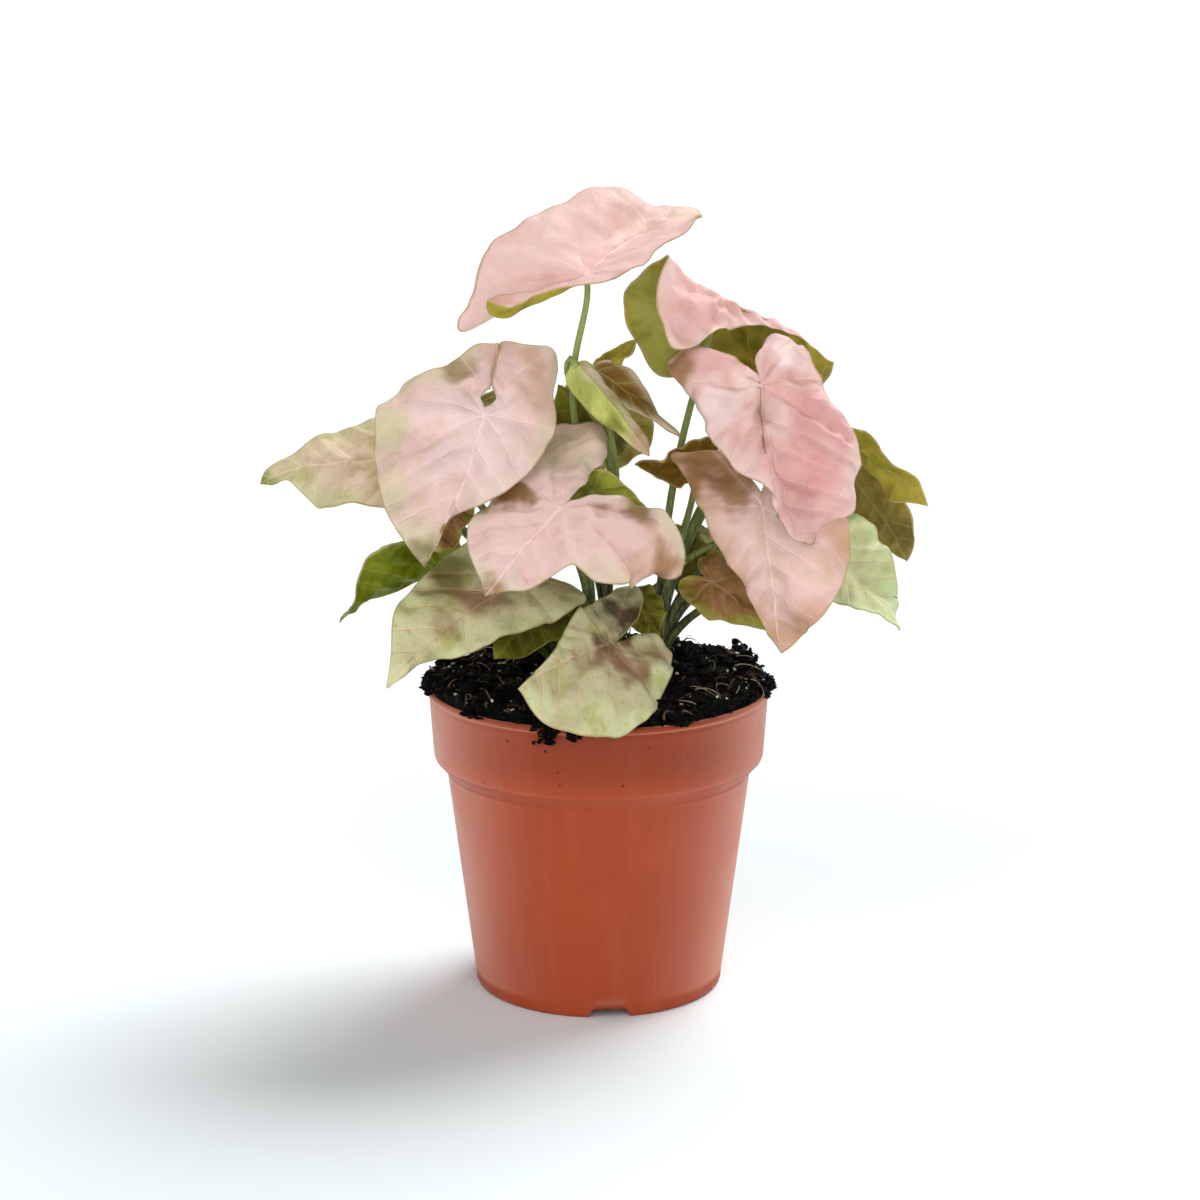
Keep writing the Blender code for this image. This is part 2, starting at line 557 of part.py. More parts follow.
def build_soil(parts, cutters):
    floor = BASE_RAISE + WALL + SOIL_GAP
    edge = inner_radius(SOIL_EDGE_Z) - SOIL_GAP
    top = [(edge * i / SOIL_RINGS, SOIL_EDGE_Z) for i in range(SOIL_RINGS + 1)]
    wall = [(inner_radius(z) - SOIL_GAP * 1.5, z) for z in (BAND_FOOT_Z, BODY_TOP_Z, floor)]
    soil = fixed_mesh(add_profile("soil", top + wall + [(0, floor)], SOIL_STEPS, parts), parts)
    soil.name = "soil"
    for vertex in soil.data.vertices:
        if vertex.co.z > SOIL_EDGE_Z - 0.0001:
            vertex.co.z = soil_height(vertex.co.x, vertex.co.y)
    for name, place in CROWNS.items():
        low = SOIL_EDGE_Z - SHEATH_DEPTH - HOLE_GAP
        high = SOIL_EDGE_Z + HOLE_CUT
        radius = SHEATH_RADIUS + HOLE_GAP
        hole = add_cylinder("hole_" + name, radius, low, high, place, SHEATH_SIDES, cutters)
        add_boolean(soil, hole, "DIFFERENCE")
    soil.data.materials.append(material("soil_peat", SOIL_COLOUR, 0.95))
    return soil


# Crowns and blades

def build_stalk(name, path, collection):
    curve = bpy.data.curves.new(name, "CURVE")
    curve.dimensions = "3D"
    curve.bevel_depth = STALK_RADIUS_FOOT
    curve.bevel_resolution = 2
    curve.use_fill_caps = True
    spline = curve.splines.new("POLY")
    spline.points.add(len(path) - 1)
    thinnest = STALK_RADIUS_TOP / STALK_RADIUS_FOOT
    for index, (point, place) in enumerate(zip(spline.points, path)):
        point.co = (*place, 1)
        point.radius = 1 + (thinnest - 1) * min(1, index / (len(path) - 2))
    made = bpy.data.objects.new(name, curve)
    collection.objects.link(made)
    return fixed_mesh(made, collection)


def build_crown(name, leaves, parts, helpers, finish):
    """One crown: a short sheath in its hole with the stalk of every leaf of the crown fused into it."""
    x, y = CROWNS[name]
    low = SOIL_EDGE_Z - SHEATH_DEPTH
    high = SOIL_EDGE_Z + SHEATH_STAND
    sheath = add_cylinder("crown_" + name, SHEATH_RADIUS, low, high, (x, y), SHEATH_SIDES, parts,
                          SHEATH_TOP_RADIUS)
    for leaf_name, leaf in leaves.items():
        toward = unit(np.array(leaf["junction"][:2]) - (x, y))
        start = np.array([*(np.array([x, y]) + toward * STALK_SPREAD), SOIL_EDGE_Z - STALK_SINK])
        stalk = build_stalk("stalk_" + leaf_name, stalk_path(leaf, start), helpers)
        add_boolean(sheath, stalk, "UNION")
    sheath.data.materials.append(finish)
    return sheath


def build_blade(name, leaf, parts, finish):
    points, faces = blade_surface(leaf)
    blade = add_mesh(name, points, faces, parts)
    blade.data.shade_smooth()
    thick = blade.modifiers.new("thickness", "SOLIDIFY")
    thick.thickness = BLADE_THICKNESS
    thick.offset = 0
    blade.data.materials.append(finish)
    return blade


def main():
    clear_scene()
    parts = new_collection("arrowhead_plant")
    cutters = new_collection("cutters")
    leaves = {name: {**USUAL, **fields} for name, fields in BLADES.items()}
    build_pot(parts, cutters)
    build_soil(parts, cutters)
    stalk_green = material("stalk_green", STALK_COLOUR, 0.5)
    for crown in CROWNS:
        own = {name: leaf for name, leaf in leaves.items() if leaf["crown"] == crown}
        build_crown(crown, own, parts, cutters, stalk_green)
    finishes = {name: material("leaf_" + name, colour, 0.5) for name, colour in LEAF_COLOURS.items()}
    for name, leaf in leaves.items():
        build_blade(name, leaf, parts, finishes[leaf["colour"]])


main()
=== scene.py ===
"""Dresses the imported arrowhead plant: its leaves, stalks, soil and pot, on a pale floor in soft light."""
import math
from types import SimpleNamespace

import bpy
import numpy as np
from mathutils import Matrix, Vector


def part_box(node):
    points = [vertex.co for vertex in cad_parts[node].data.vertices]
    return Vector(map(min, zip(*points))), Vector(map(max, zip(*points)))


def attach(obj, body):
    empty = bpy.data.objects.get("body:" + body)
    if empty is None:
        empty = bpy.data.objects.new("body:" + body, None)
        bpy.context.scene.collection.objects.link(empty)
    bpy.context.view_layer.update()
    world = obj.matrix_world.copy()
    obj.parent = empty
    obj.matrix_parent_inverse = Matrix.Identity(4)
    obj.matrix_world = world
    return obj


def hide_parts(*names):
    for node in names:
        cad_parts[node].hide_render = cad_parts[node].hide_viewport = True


bl_info = {
    "name": "Potted arrowhead plant",
    "version": (1, 0, 0),
    "blender": (4, 5, 0),
    "location": "View3D > Sidebar > Arrowhead",
    "description": "Leaves, stalks, soil and pot of a potted arrowhead plant",
    "category": "Add Mesh",
}

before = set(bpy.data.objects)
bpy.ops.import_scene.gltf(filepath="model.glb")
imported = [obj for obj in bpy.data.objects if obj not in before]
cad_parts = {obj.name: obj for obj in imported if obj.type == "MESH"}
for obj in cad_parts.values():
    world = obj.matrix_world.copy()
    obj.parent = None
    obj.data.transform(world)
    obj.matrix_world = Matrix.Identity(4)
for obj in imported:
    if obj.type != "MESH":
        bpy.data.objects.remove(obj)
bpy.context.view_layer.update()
MM = 0.001

# Half outlines of a blade from its tip to its sinus: degrees off the midrib, then reach in hundredths of the
# blade's length
PLAIN = ((12, 80), (28, 65), (50, 55), (80, 47), (112, 43), (138, 43), (156, 35), (170, 18))
LANCE = ((8, 86), (16, 66), (28, 46), (48, 30), (80, 20), (120, 15), (155, 11))
ROLLED = ((8, 86), (16, 66), (28, 46), (48, 30), (80, 18), (110, 10), (150, 5))

USUAL = dict(left=PLAIN, right=PLAIN, notch=6, droop=30, hook=0, sway=0, skew=0, fold=(8, 8), curl=(20, 20),
             back=(20, 20), lean=(0, 0), inline=False, small=False, quilt=0.7, mottle=0.4, edge=0.55,
             hole=None, rolls=(), patches=(), under_patches=(), veins=1.0)

# Each blade: where its stalk joins, where its tip is, and the way its upper face looks, as degrees round
# from the front and degrees up. droop, hook and sway bend the midrib, in degrees. fold raises, curl rolls
# and back bends down the lobe of the left and right halves. skew slides the lobes to one side. lean pushes
# the middle of the stalk aside, in metres, and an inline stalk runs on from the midrib. A small blade has a
# coarser grid and no rolled margin. quilt is how far the blade swells between its veins, in millimetres,
# mottle how strong its green flecks are, veins how clear its pale vein lines are, and edge how far in its
# rim colour comes. hole is how far behind the junction a gap opens, its width, its spread and how far the
# lobes close behind it. Each patch, on the upper or the under face, is across and along in hundredths of the
# length, radius, strength and a tint's name. Each roll turns the margin up, or down if below zero: degrees
# off the midrib (right is positive), width and turn.
# Some patches are painted shade or a painted highlight; each of those is marked at its blade.
BLADES = {
    "leaf_top": dict(
        crown="back", look="blush", junction=(-0.0045, 0.000, 0.256), tip=(0.037, 0.040, 0.270),
        face=(-20, 70), lean=(-0.018, -0.012), droop=15, hook=30, sway=30, skew=-1.4, notch=8,
        fold=(50, 14), curl=(25, 10), back=(35, 5), quilt=0.55, mottle=0.15,
        rolls=((146, 12, 170), (95, 16, 40), (0, 16, 0)), veins=0.3,
        patches=((-2, 98, 26, 0.85, "cream"),),
        under_patches=((-38, -58, 12, 0.9, "cream"), (-28, -60, 10, 0.9, "cream"),
                       (-6, -20, 22, 0.7, "moss")),
        left=((6, 101), (11, 93), (19, 82), (28, 73), (38, 60), (51, 50), (67, 46), (84, 49), (99, 51),
              (111, 45), (137, 39), (150, 40), (165, 45), (175, 47), (179, 34)),
        right=((18, 84), (30, 66), (43, 46), (60, 38), (80, 34), (105, 26), (130, 26), (140, 50), (144, 74),
               (152, 66), (158, 45), (168, 28), (177, 18))),
    "leaf_left_big": dict(
        crown="left", look="pink", junction=(-0.039, -0.030, 0.212), tip=(-0.058, -0.052, 0.163),
        face=(-8, 25), lean=(-0.030, 0.030), droop=25, sway=18, fold=(-15, 8), curl=(25, 25), back=(3, 15),
        hole=(12, 4, 6, 9), edge=0.78, mottle=0.3,
        # The ochre patch behind the junction is painted shade in a fold.
        patches=((0, 10, 46, 0.7, "pale pink"), (24, -31, 10, 0.95, "ochre shade"), (36, -42, 22, 0.6, "khaki"),
                 (67, 20, 24, 0.8, "khaki"), (60, -12, 16, 0.6, "khaki"), (48, 66, 24, 0.7, "khaki"),
                 (20, 84, 18, 0.6, "khaki"), (3, 95, 13, 0.75, "moss"), (-32, -21, 18, 0.6, "tan"),
                 (-44, 10, 12, 0.5, "khaki"), (-18, -50, 14, 0.7, "tan")),
        left=((1, 72), (9, 57), (35, 47), (58, 43), (83, 42), (107, 45), (122, 48), (134, 57), (145, 71),
              (152, 71), (158, 63), (167, 57), (173, 46), (176, 24)),
        right=((6, 97), (16, 90), (29, 84), (52, 73), (76, 67), (92, 64), (110, 60), (124, 48), (141, 44),
               (165, 53), (174, 56), (177, 44), (178, 24))),
    "leaf_front_centre": dict(
        crown="middle", look="pink", junction=(-0.013, -0.040, 0.182), tip=(-0.037, -0.068, 0.157),
        face=(5, 48), lean=(0.006, 0.012), droop=25, fold=(0, 5), back=(8, 8), edge=0.72,
        quilt=0.9, mottle=0.12, rolls=((-100, 9, -130), (-135, 16, 50), (8, 14, -50)),
        veins=0.75,
        # The two ochre patches are painted shade: the shadow of the big left blade near the junction, and
        # the shade in a curl of the right arm. The cream patch on the upper arm is partly the arm's pale
        # colour and partly painted light that lifts the shade of the blade above it.
        patches=((39, 12, 20, 0.95, "ochre shade"), (29, -63, 34, 0.9, "cream"), (-46, -46, 17, 0.85, "ochre shade"),
                 (-88, -14, 30, 0.85, "tan"), (-92, -26, 16, 0.8, "brown"), (0, 97, 14, 0.8, "brown"),
                 (-24, -24, 10, 0.7, "mauve")),
        left=((6, 86), (17, 73), (39, 55), (51, 60), (58, 70), (66, 78), (75, 79), (86, 76), (92, 84),
              (100, 96), (105, 107), (111, 109), (118, 103), (124, 95), (131, 82), (138, 66), (148, 57),
              (157, 41), (163, 25)),
        right=((10, 92), (24, 82), (40, 73), (63, 60), (90, 60), (120, 75), (146, 106), (158, 102),
               (168, 106), (174, 95), (177, 55), (179, 20))),
    "leaf_right_big": dict(
        crown="right", look="rose", junction=(0.056, -0.008, 0.219), tip=(0.071, -0.028, 0.168),
        face=(-4, 25), lean=(0.000, 0.030), hook=25, sway=-16, fold=(-5, 8), curl=(25, 25),
        back=(30, 5), quilt=1.8, mottle=0.15, edge=0.6, rolls=((80, 18, -60), (-10, 14, -50)),
        patches=((-28, 30, 28, 0.7, "deep rose"), (-16, 64, 24, 0.6, "deep rose"),
                 (2, 20, 18, 0.7, "pale pink"), (-20, -24, 22, 0.7, "pale pink"),
                 (25, 6, 20, 0.8, "pale pink"), (12, -8, 14, 0.6, "pale pink"),
                 (52, -16, 16, 0.85, "brown")),
        veins=0.8,
        left=((6, 108), (14, 110), (22, 104), (32, 92), (45, 76), (59, 57), (80, 43), (105, 37), (130, 38),
              (150, 43), (163, 42), (170, 26)),
        right=((3, 97), (6, 92), (7, 82), (8, 68), (25, 56), (41, 48), (65, 42), (92, 44), (112, 60),
               (127, 48), (140, 32), (150, 18))),
    "leaf_right_low": dict(
        crown="right", look="tan", junction=(0.057, -0.012, 0.176), tip=(0.062, -0.038, 0.130),
        face=(0, 20), lean=(-0.030, 0.000), droop=20, curl=(15, 15), back=(10, 10), quilt=0.8,
        rolls=((-150, 14, 60), (25, 14, -40)),
        # The two brown patches in the lobe behind the junction are painted shadow from the blades above.
        patches=((22, -23, 25, 0.85, "brown"), (37, -38, 24, 0.8, "brown"), (-3, 92, 28, 0.9, "tan")),
        veins=0.7,
        left=((5, 96), (17, 85), (30, 78), (44, 71), (58, 63), (80, 54), (105, 48), (130, 50), (150, 52),
              (163, 40), (170, 20)),
        right=((5, 84), (10, 72), (35, 46), (71, 38), (100, 43), (120, 54), (133, 76), (145, 60), (158, 45),
               (168, 22))),
    "leaf_right_pale": dict(
        crown="right", look="pale", junction=(0.077, 0.008, 0.159), tip=(0.106, -0.004, 0.130),
        face=(25, 40), droop=25, fold=(10, 10),
        left=((8, 94), (18, 86), (39, 65), (72, 55), (94, 50), (120, 48), (145, 46), (162, 32)),
        right=((12, 80), (34, 58), (60, 50), (90, 46), (120, 46), (145, 44), (162, 30))),
    "leaf_left_far": dict(
        crown="left", look="dusty", junction=(-0.067, 0.008, 0.191), tip=(-0.116, 0.004, 0.180),
        face=(-8, 50), droop=15, hook=110, curl=(25, 25), mottle=0.8,
        patches=((0, 104, 14, 1.0, "leaf green"),),
        left=((3, 94), (4, 84), (8, 80), (17, 75), (33, 66), (42, 59), (57, 50), (75, 46), (110, 44),
              (145, 42), (165, 24)),
        right=((5, 92), (8, 76), (16, 67), (29, 55), (45, 47), (65, 43), (90, 42), (120, 44), (148, 40),
               (165, 22))),
    "leaf_left_dark": dict(
        crown="left", look="green", junction=(-0.058, 0.012, 0.150), tip=(-0.092, 0.010, 0.129),
        face=(-170, 40), fold=(5, 5), curl=(15, 20), rolls=((60, 30, 60),),
        left=((14, 92), (21, 79), (33, 69), (62, 60), (84, 60), (110, 54), (140, 45), (165, 22)),
        right=((3, 80), (8, 58), (16, 38), (30, 25), (70, 20), (120, 26), (150, 24), (168, 14))),
    "leaf_left_low": dict(
        crown="left", look="khaki", junction=(-0.027, -0.022, 0.151), tip=(-0.072, -0.042, 0.118),
        face=(-12, 40), lean=(-0.030, 0.000), droop=25, sway=-22, fold=(10, 10), curl=(20, 25), mottle=0.9,
        patches=((28, 30, 20, 0.85, "moss"), (3, 26, 16, 0.85, "mauve"), (2, -13, 18, 0.5, "mauve"),
                 (4, 52, 10, 0.5, "mauve")),
        left=((1, 88), (3, 79), (8, 69), (19, 56), (33, 45), (50, 37), (75, 32), (110, 34), (140, 40),
              (162, 30)),
        right=((6, 86), (23, 71), (34, 61), (50, 54), (63, 49), (78, 44), (105, 42), (135, 46), (155, 40),
               (168, 20))),
    "leaf_front_low": dict(
        crown="middle", look="khaki", junction=(0.003, -0.038, 0.134), tip=(-0.027, -0.068, 0.125),
        face=(8, 45), droop=25, fold=(5, 14), back=(0, 0), mottle=0.9, edge=0.65,
        # The two deep patches are painted shade: on the far lobe, which lies in shadow, and about the
        # junction.
        patches=((-18, 2, 26, 0.95, "mauve"), (17, -38, 26, 0.95, "deep"), (-25, -35, 18, 0.7, "mauve"),
                 (5, 5, 12, 0.8, "deep"), (-5, 34, 18, 0.4, "mauve"), (-56, 62, 26, 0.6, "lime")),
        left=((9, 98), (21, 100), (32, 102), (44, 99), (59, 87), (81, 70), (108, 58), (135, 57), (156, 62),
              (168, 66), (173, 60), (176, 30)),
        right=((2, 80), (11, 56), (45, 37), (85, 36), (120, 44), (143, 74), (154, 76), (162, 62),
               (168, 36))),
    "leaf_right_folded": dict(
        crown="right", look="rose", junction=(0.0435, 0.016, 0.246), tip=(0.083, 0.030, 0.220),
        face=(-5, 80), lean=(0.000, 0.018), droop=15, notch=55, fold=(-60, -28),
        back=(-20, -20), quilt=1.3, veins=0.5,
        under_patches=((-44, -14, 30, 0.8, "sage"), (-30, -30, 26, 0.7, "sage"),
                       (-20, 40, 22, 0.5, "moss")),
        left=((7, 110), (20, 106), (34, 98), (68, 77), (96, 68), (115, 74), (130, 70), (145, 62),
              (165, 56)),
        right=((2, 84), (4, 66), (8, 53), (18, 34), (36, 27), (70, 26), (95, 34), (106, 54), (112, 66),
               (120, 67), (130, 62), (150, 60), (168, 58))),
    "leaf_centre_under": dict(
        crown="middle", look="moss", junction=(-0.002, -0.013, 0.183), tip=(0.029, -0.022, 0.158),
        face=(165, 25), droop=25, under_patches=((0, 40, 90, 1.0, "fern"),),
        left=((12, 80), (28, 62), (50, 50), (80, 38), (112, 28), (140, 22), (165, 12)),
        right=((4, 86), (12, 64), (22, 46), (40, 34), (70, 26), (110, 20), (145, 18), (168, 10))),
    "leaf_right_brown": dict(
        crown="right", look="brown", junction=(0.040, -0.005, 0.148), tip=(0.064, -0.015, 0.130),
        face=(0, 50), droop=25, mottle=0.9,
        right=((12, 76), (28, 58), (50, 48), (80, 41), (112, 38), (138, 38), (156, 31), (170, 16))),
    "leaf_far_right": dict(
        crown="right", look="dusty", junction=(0.090, 0.018, 0.193), tip=(0.116, 0.012, 0.171),
        face=(170, 40), lean=(-0.006, 0.012), droop=25, small=True,
        left=((5, 87), (13, 71), (18, 50), (32, 34), (60, 26), (100, 24), (140, 24), (165, 14)),
        right=((4, 87), (10, 76), (12, 56), (24, 36), (60, 26), (105, 24), (145, 22), (165, 14))),
    "leaf_far_right_low": dict(
        crown="right", look="moss", junction=(0.091, 0.036, 0.179), tip=(0.112, 0.034, 0.146),
        face=(170, 20), lean=(0.012, 0.012), droop=35,
        left=((4, 84), (11, 62), (21, 48), (40, 40), (80, 36), (120, 36), (150, 30), (168, 16)),
        right=((2, 98), (9, 87), (21, 68), (42, 46), (75, 32), (110, 30), (145, 28), (165, 16))),
    "leaf_young_roll": dict(
        crown="back", look="young", junction=(-0.007, -0.008, 0.225), tip=(0.018, -0.021, 0.197),
        face=(200, -20), lean=(0.030, 0.006), inline=True, droop=-15, notch=4, fold=(10, 10),
        curl=(-160, -160), back=(0, 0), small=True, left=ROLLED, right=ROLLED, quilt=0.1,
        patches=((0, 100, 46, 0.8, "tan"),),
        # The row of cream patches along one flank is a painted highlight on the roll.
        under_patches=((-8, 20, 16, 0.5, "leaf green"), (-10, 60, 12, 0.6, "leaf green"),
                       *((8, along, 10, 1.0, "cream") for along in (12, 22, 32, 42, 52, 62, 72)),
                       (0, 100, 30, 0.9, "tan"))),
    "leaf_young_back": dict(
        crown="back", look="shaded", junction=(-0.001, 0.010, 0.221), tip=(0.028, 0.004, 0.197),
        face=(50, 20), lean=(-0.012, 0.000), inline=True, droop=15, notch=4, fold=(15, 15), curl=(10, 10),
        small=True, left=ROLLED, right=ROLLED, quilt=0.1),
    "leaf_left_small": dict(
        crown="left", look="brown", junction=(-0.050, -0.011, 0.176), tip=(-0.057, -0.017, 0.162),
        face=(0, 30), lean=(0.000, 0.018), small=True,
        left=((18, 86), (36, 62), (49, 48), (80, 44), (110, 40), (140, 36), (160, 22)),
        right=((9, 89), (31, 60), (55, 50), (85, 44), (112, 40), (138, 36), (160, 22))),
    "leaf_low_left": dict(
        crown="left", look="moss", junction=(-0.017, -0.010, 0.141), tip=(-0.036, -0.022, 0.124),
        face=(-10, 40), small=True),
    "leaf_centre_small": dict(
        crown="right", look="shaded", junction=(0.034, 0.013, 0.188), tip=(0.014, 0.006, 0.187),
        face=(175, 15), small=True,
        left=((10, 80), (24, 52), (45, 36), (75, 36), (105, 48), (125, 52), (150, 44), (168, 20))),
    "leaf_centre_green": dict(
        crown="back", look="moss", junction=(0.000, 0.016, 0.193), tip=(-0.015, 0.008, 0.216),
        face=(0, 20), small=True),
    "leaf_narrow": dict(
        crown="back", look="dusty", junction=(-0.001, 0.016, 0.219), tip=(0.013, 0.016, 0.231),
        face=(120, 25), lean=(0.012, -0.018), small=True, left=LANCE, right=LANCE),
    "leaf_low_right": dict(
        crown="right", look="moss", junction=(0.036, 0.018, 0.144), tip=(0.028, 0.022, 0.163),
        face=(0, 20), small=True),
    "leaf_deep_middle": dict(
        crown="middle", look="moss", junction=(0.014, -0.004, 0.141), tip=(0.021, -0.010, 0.126),
        face=(10, 40), small=True),
    "leaf_back_left": dict(
        crown="left", look="pink", junction=(-0.043, 0.030, 0.207), tip=(-0.058, 0.064, 0.176),
        face=(-160, 40), lean=(0.000, 0.012)),
    "leaf_back_right": dict(
        crown="right", look="rose", junction=(0.060, 0.030, 0.207), tip=(0.074, 0.066, 0.176),
        face=(160, 40), lean=(-0.006, 0.000)),
    "leaf_back_centre": dict(
        crown="back", look="pink", junction=(-0.003, 0.040, 0.196), tip=(-0.009, 0.074, 0.158),
        face=(-175, 40)),
    "leaf_back_low_left": dict(
        crown="back", look="khaki", junction=(-0.029, 0.034, 0.147), tip=(-0.045, 0.064, 0.125),
        face=(-150, 45), small=True, mottle=0.8),
    "leaf_back_low_right": dict(
        crown="back", look="khaki", junction=(0.036, 0.032, 0.159), tip=(0.052, 0.062, 0.134),
        face=(150, 45), small=True, mottle=0.8),
}

# Where each crown of stalks stands in the soil
CROWNS = {"left": (-0.014, 0.002), "middle": (-0.001, -0.010), "right": (0.020, 0.006),
          "back": (0.004, 0.022)}

# The stage's light is bright, to make the floor white, so each colour is this share of how it is seen
LIGHT_SHARE = 0.93

# Tints as seen on the leaf, red, green and blue from 0 to 255
TINTS = {
    "pink": (242, 203, 197), "pale pink": (250, 218, 214), "rose": (236, 182, 177),
    "deep rose": (220, 156, 152), "bright rose": (241, 200, 197), "dusty": (220, 196, 172),
    # The ochre and deep tints are painted shade, laid where blades or parts of blades lie in shadow.
    "tan": (214, 172, 146), "cream": (228, 208, 182), "ochre shade": (132, 94, 38), "amber": (150, 108, 30),
    "brown": (158, 114, 66), "mauve": (144, 106, 74), "deep": (74, 54, 16), "bronze": (134, 116, 54),
    "khaki": (208, 200, 158), "lime": (214, 216, 166), "young": (206, 206, 120), "olive": (174, 158, 60),
    "moss": (106, 99, 30), "fern": (158, 160, 58), "sage": (184, 182, 98), "leaf green": (126, 138, 24),
    "dark green": (92, 104, 14), "pale green": (206, 222, 172),
}

# Each look: a slot's name, then the tints of its middle, rim, veins and underside
LOOKS = {
    "pink": ("leaf_pink", "pink", "cream", "pale pink", "olive"),
    "blush": ("leaf_pink", "pink", "pink", "pale pink", "olive"),
    "rose": ("leaf_rose", "rose", "pink", "bright rose", "olive"),
    "tan": ("leaf_tan", "pink", "tan", "pale pink", "olive"),
    "dusty": ("leaf_tan", "dusty", "khaki", "cream", "olive"),
    "brown": ("leaf_tan", "brown", "fern", "tan", "olive"),
    "pale": ("leaf_pale", "lime", "pale green", "cream", "pale green"),
    "khaki": ("leaf_khaki", "khaki", "lime", "tan", "olive"),
    "green": ("leaf_green", "dark green", "leaf green", "leaf green", "leaf green"),
    "moss": ("leaf_green", "moss", "leaf green", "olive", "bronze"),
    "young": ("leaf_young", "young", "cream", "cream", "young"),
    "shaded": ("leaf_tan", "ochre shade", "cream", "young", "amber"),
}


# Blade form

def unit(vector):
    """The vector's direction, one long."""
    return vector / np.linalg.norm(vector)


def facing(around, up):
    """Unit vector that looks around degrees to the right of the front and up degrees above level."""
    a, e = math.radians(around), math.radians(up)
    return np.array([math.sin(a) * math.cos(e), -math.cos(a) * math.cos(e), math.sin(e)])


def arc_run(distance, start, turn):
    """Run and rise at a distance along an arc that sets off at start and turns by turn for each unit."""
    turn = np.where(np.abs(turn) < 1e-6, 1e-6, turn)
    run = (np.sin(start + turn * distance) - np.sin(start)) / turn
    rise = (np.cos(start) - np.cos(start + turn * distance)) / turn
    return run, rise


def summed(values, steps):
    """Running integral of values by the trapezium rule."""
    return np.concatenate([[0], np.cumsum((values[1:] + values[:-1]) / 2 * steps)])


def midrib(leaf):
    """Share of the length, run, rise and slope of a midrib that droops evenly and hooks near its tip."""
    share = np.linspace(0, 1.3, 131)
    hooked = np.clip((share - 0.65) / 0.35, 0, 2) ** 2 / 2
    slope = -math.radians(leaf["droop"]) * share - math.radians(leaf["hook"]) * hooked
    steps = np.diff(share)
    return share, summed(np.cos(slope), steps), summed(np.sin(slope), steps), slope


def blade_frame(leaf):
    """Length of the blade, and the forward, right and upper directions at its junction."""
    share, run, rise, _ = midrib(leaf)
    end_run = np.interp(1, share, run)
    end_rise = np.interp(1, share, rise)
    chord = np.array(leaf["tip"]) - np.array(leaf["junction"])
    length = np.linalg.norm(chord) / math.hypot(end_run, end_rise)
    chord = unit(chord)
    upper = facing(*leaf["face"])
    upper = unit(upper - (upper @ chord) * chord)
    right = np.cross(chord, upper)
    pitch = math.atan2(end_rise, end_run)
    forward = chord * math.cos(pitch) - upper * math.sin(pitch)
    upper = upper * math.cos(pitch) + chord * math.sin(pitch)
    half_sway = math.radians(leaf["sway"]) / 2
    ahead = forward * math.cos(half_sway) - right * math.sin(half_sway)
    right = right * math.cos(half_sway) + forward * math.sin(half_sway)
    return length, ahead, right, upper


def blade_point(leaf, across, along, wave):
    """Places of flat blade points, in blade lengths across to the right and along ahead of the junction.

    Each half leaves the midrib at its fold angle and curls down along an arc. Ahead of the junction it
    rides on the midrib's curve, and behind it on an arc that bends the lobes down. The margin waves, and
    all sways.
    """
    length, ahead, right, upper = blade_frame(leaf)
    share, run, rise, slope = midrib(leaf)
    side = np.where(across >= 0, 1, 0)
    fold = np.radians(np.take(leaf["fold"], side))
    curl = np.radians(np.take(leaf["curl"], side)) / 0.5
    bend = np.radians(np.take(leaf["back"], side)) / 0.45
    out, lift = arc_run(np.abs(across), fold, -curl)
    out = np.where(across >= 0, out, -out)
    angle = np.arctan2(across, along)
    reach = np.clip(np.hypot(across, along) / 0.5, 0, 1.4)
    ripple = np.sin(5 * angle) + 0.6 * np.sin(9 * angle + 1) + 0.2 * np.sin(17 * angle + 2)
    lift = lift + wave / length * reach ** 2 * ripple
    fore = np.clip(along, 0, 1.3)
    aft = np.clip(-along, 0, 2)
    out = out + leaf["skew"] * aft ** 2 / (aft + 0.06)
    aft_run, aft_rise = arc_run(aft, 0.0, -bend)
    behind = along < 0
    base_run = np.where(behind, -aft_run, np.interp(fore, share, run))
    base_rise = np.where(behind, aft_rise, np.interp(fore, share, rise))
    tilt = np.where(behind, bend * aft, np.interp(fore, share, slope))
    x = base_run - lift * np.sin(tilt)
    z = base_rise + lift * np.cos(tilt)
    sway = math.radians(leaf["sway"]) or 1e-5
    centre = np.clip(along, -0.3, 1.3)
    turned = sway * centre
    extra = x - centre
    forward_run = np.sin(turned) / sway + extra * np.cos(turned) - out * np.sin(turned)
    side_run = (1 - np.cos(turned)) / sway + extra * np.sin(turned) + out * np.cos(turned)
    place = forward_run[..., None] * ahead + z[..., None] * upper + side_run[..., None] * right
    return np.array(leaf["junction"]) + length * place


def smooth_line(points, count):
    """count + 1 points, evenly spread, on a Catmull-Rom curve through the points."""
    points = np.array(points, float)
    padded = np.vstack([2 * points[0] - points[1], points, 2 * points[-1] - points[-2]])
    travelled = np.concatenate([[0], np.cumsum(np.linalg.norm(np.diff(points, axis=0), axis=1))])
    place = np.interp(np.linspace(0, travelled[-1], count + 1), travelled, np.arange(len(points)))
    first = np.clip(place.astype(int), 0, len(points) - 2)
    t = (place - first)[:, None]
    a, b, c, d = padded[first], padded[first + 1], padded[first + 2], padded[first + 3]
    bend = (2 * a - 5 * b + 4 * c - d) * t**2 + (3 * b - 3 * c + d - a) * t**3
    return 0.5 * (2 * b + (c - a) * t + bend)


def half_outline(leaf, side, count):
    """Flat points of one half's margin, from the tip to the foot of the sinus, in blade lengths."""
    polar = np.array([(0, 100), *leaf[side], (180, leaf["notch"])], float)
    angle = np.radians(polar[:, 0])
    reach = polar[:, 1] / 100
    return smooth_line(np.stack([reach * np.sin(angle), reach * np.cos(angle)], axis=-1), count)


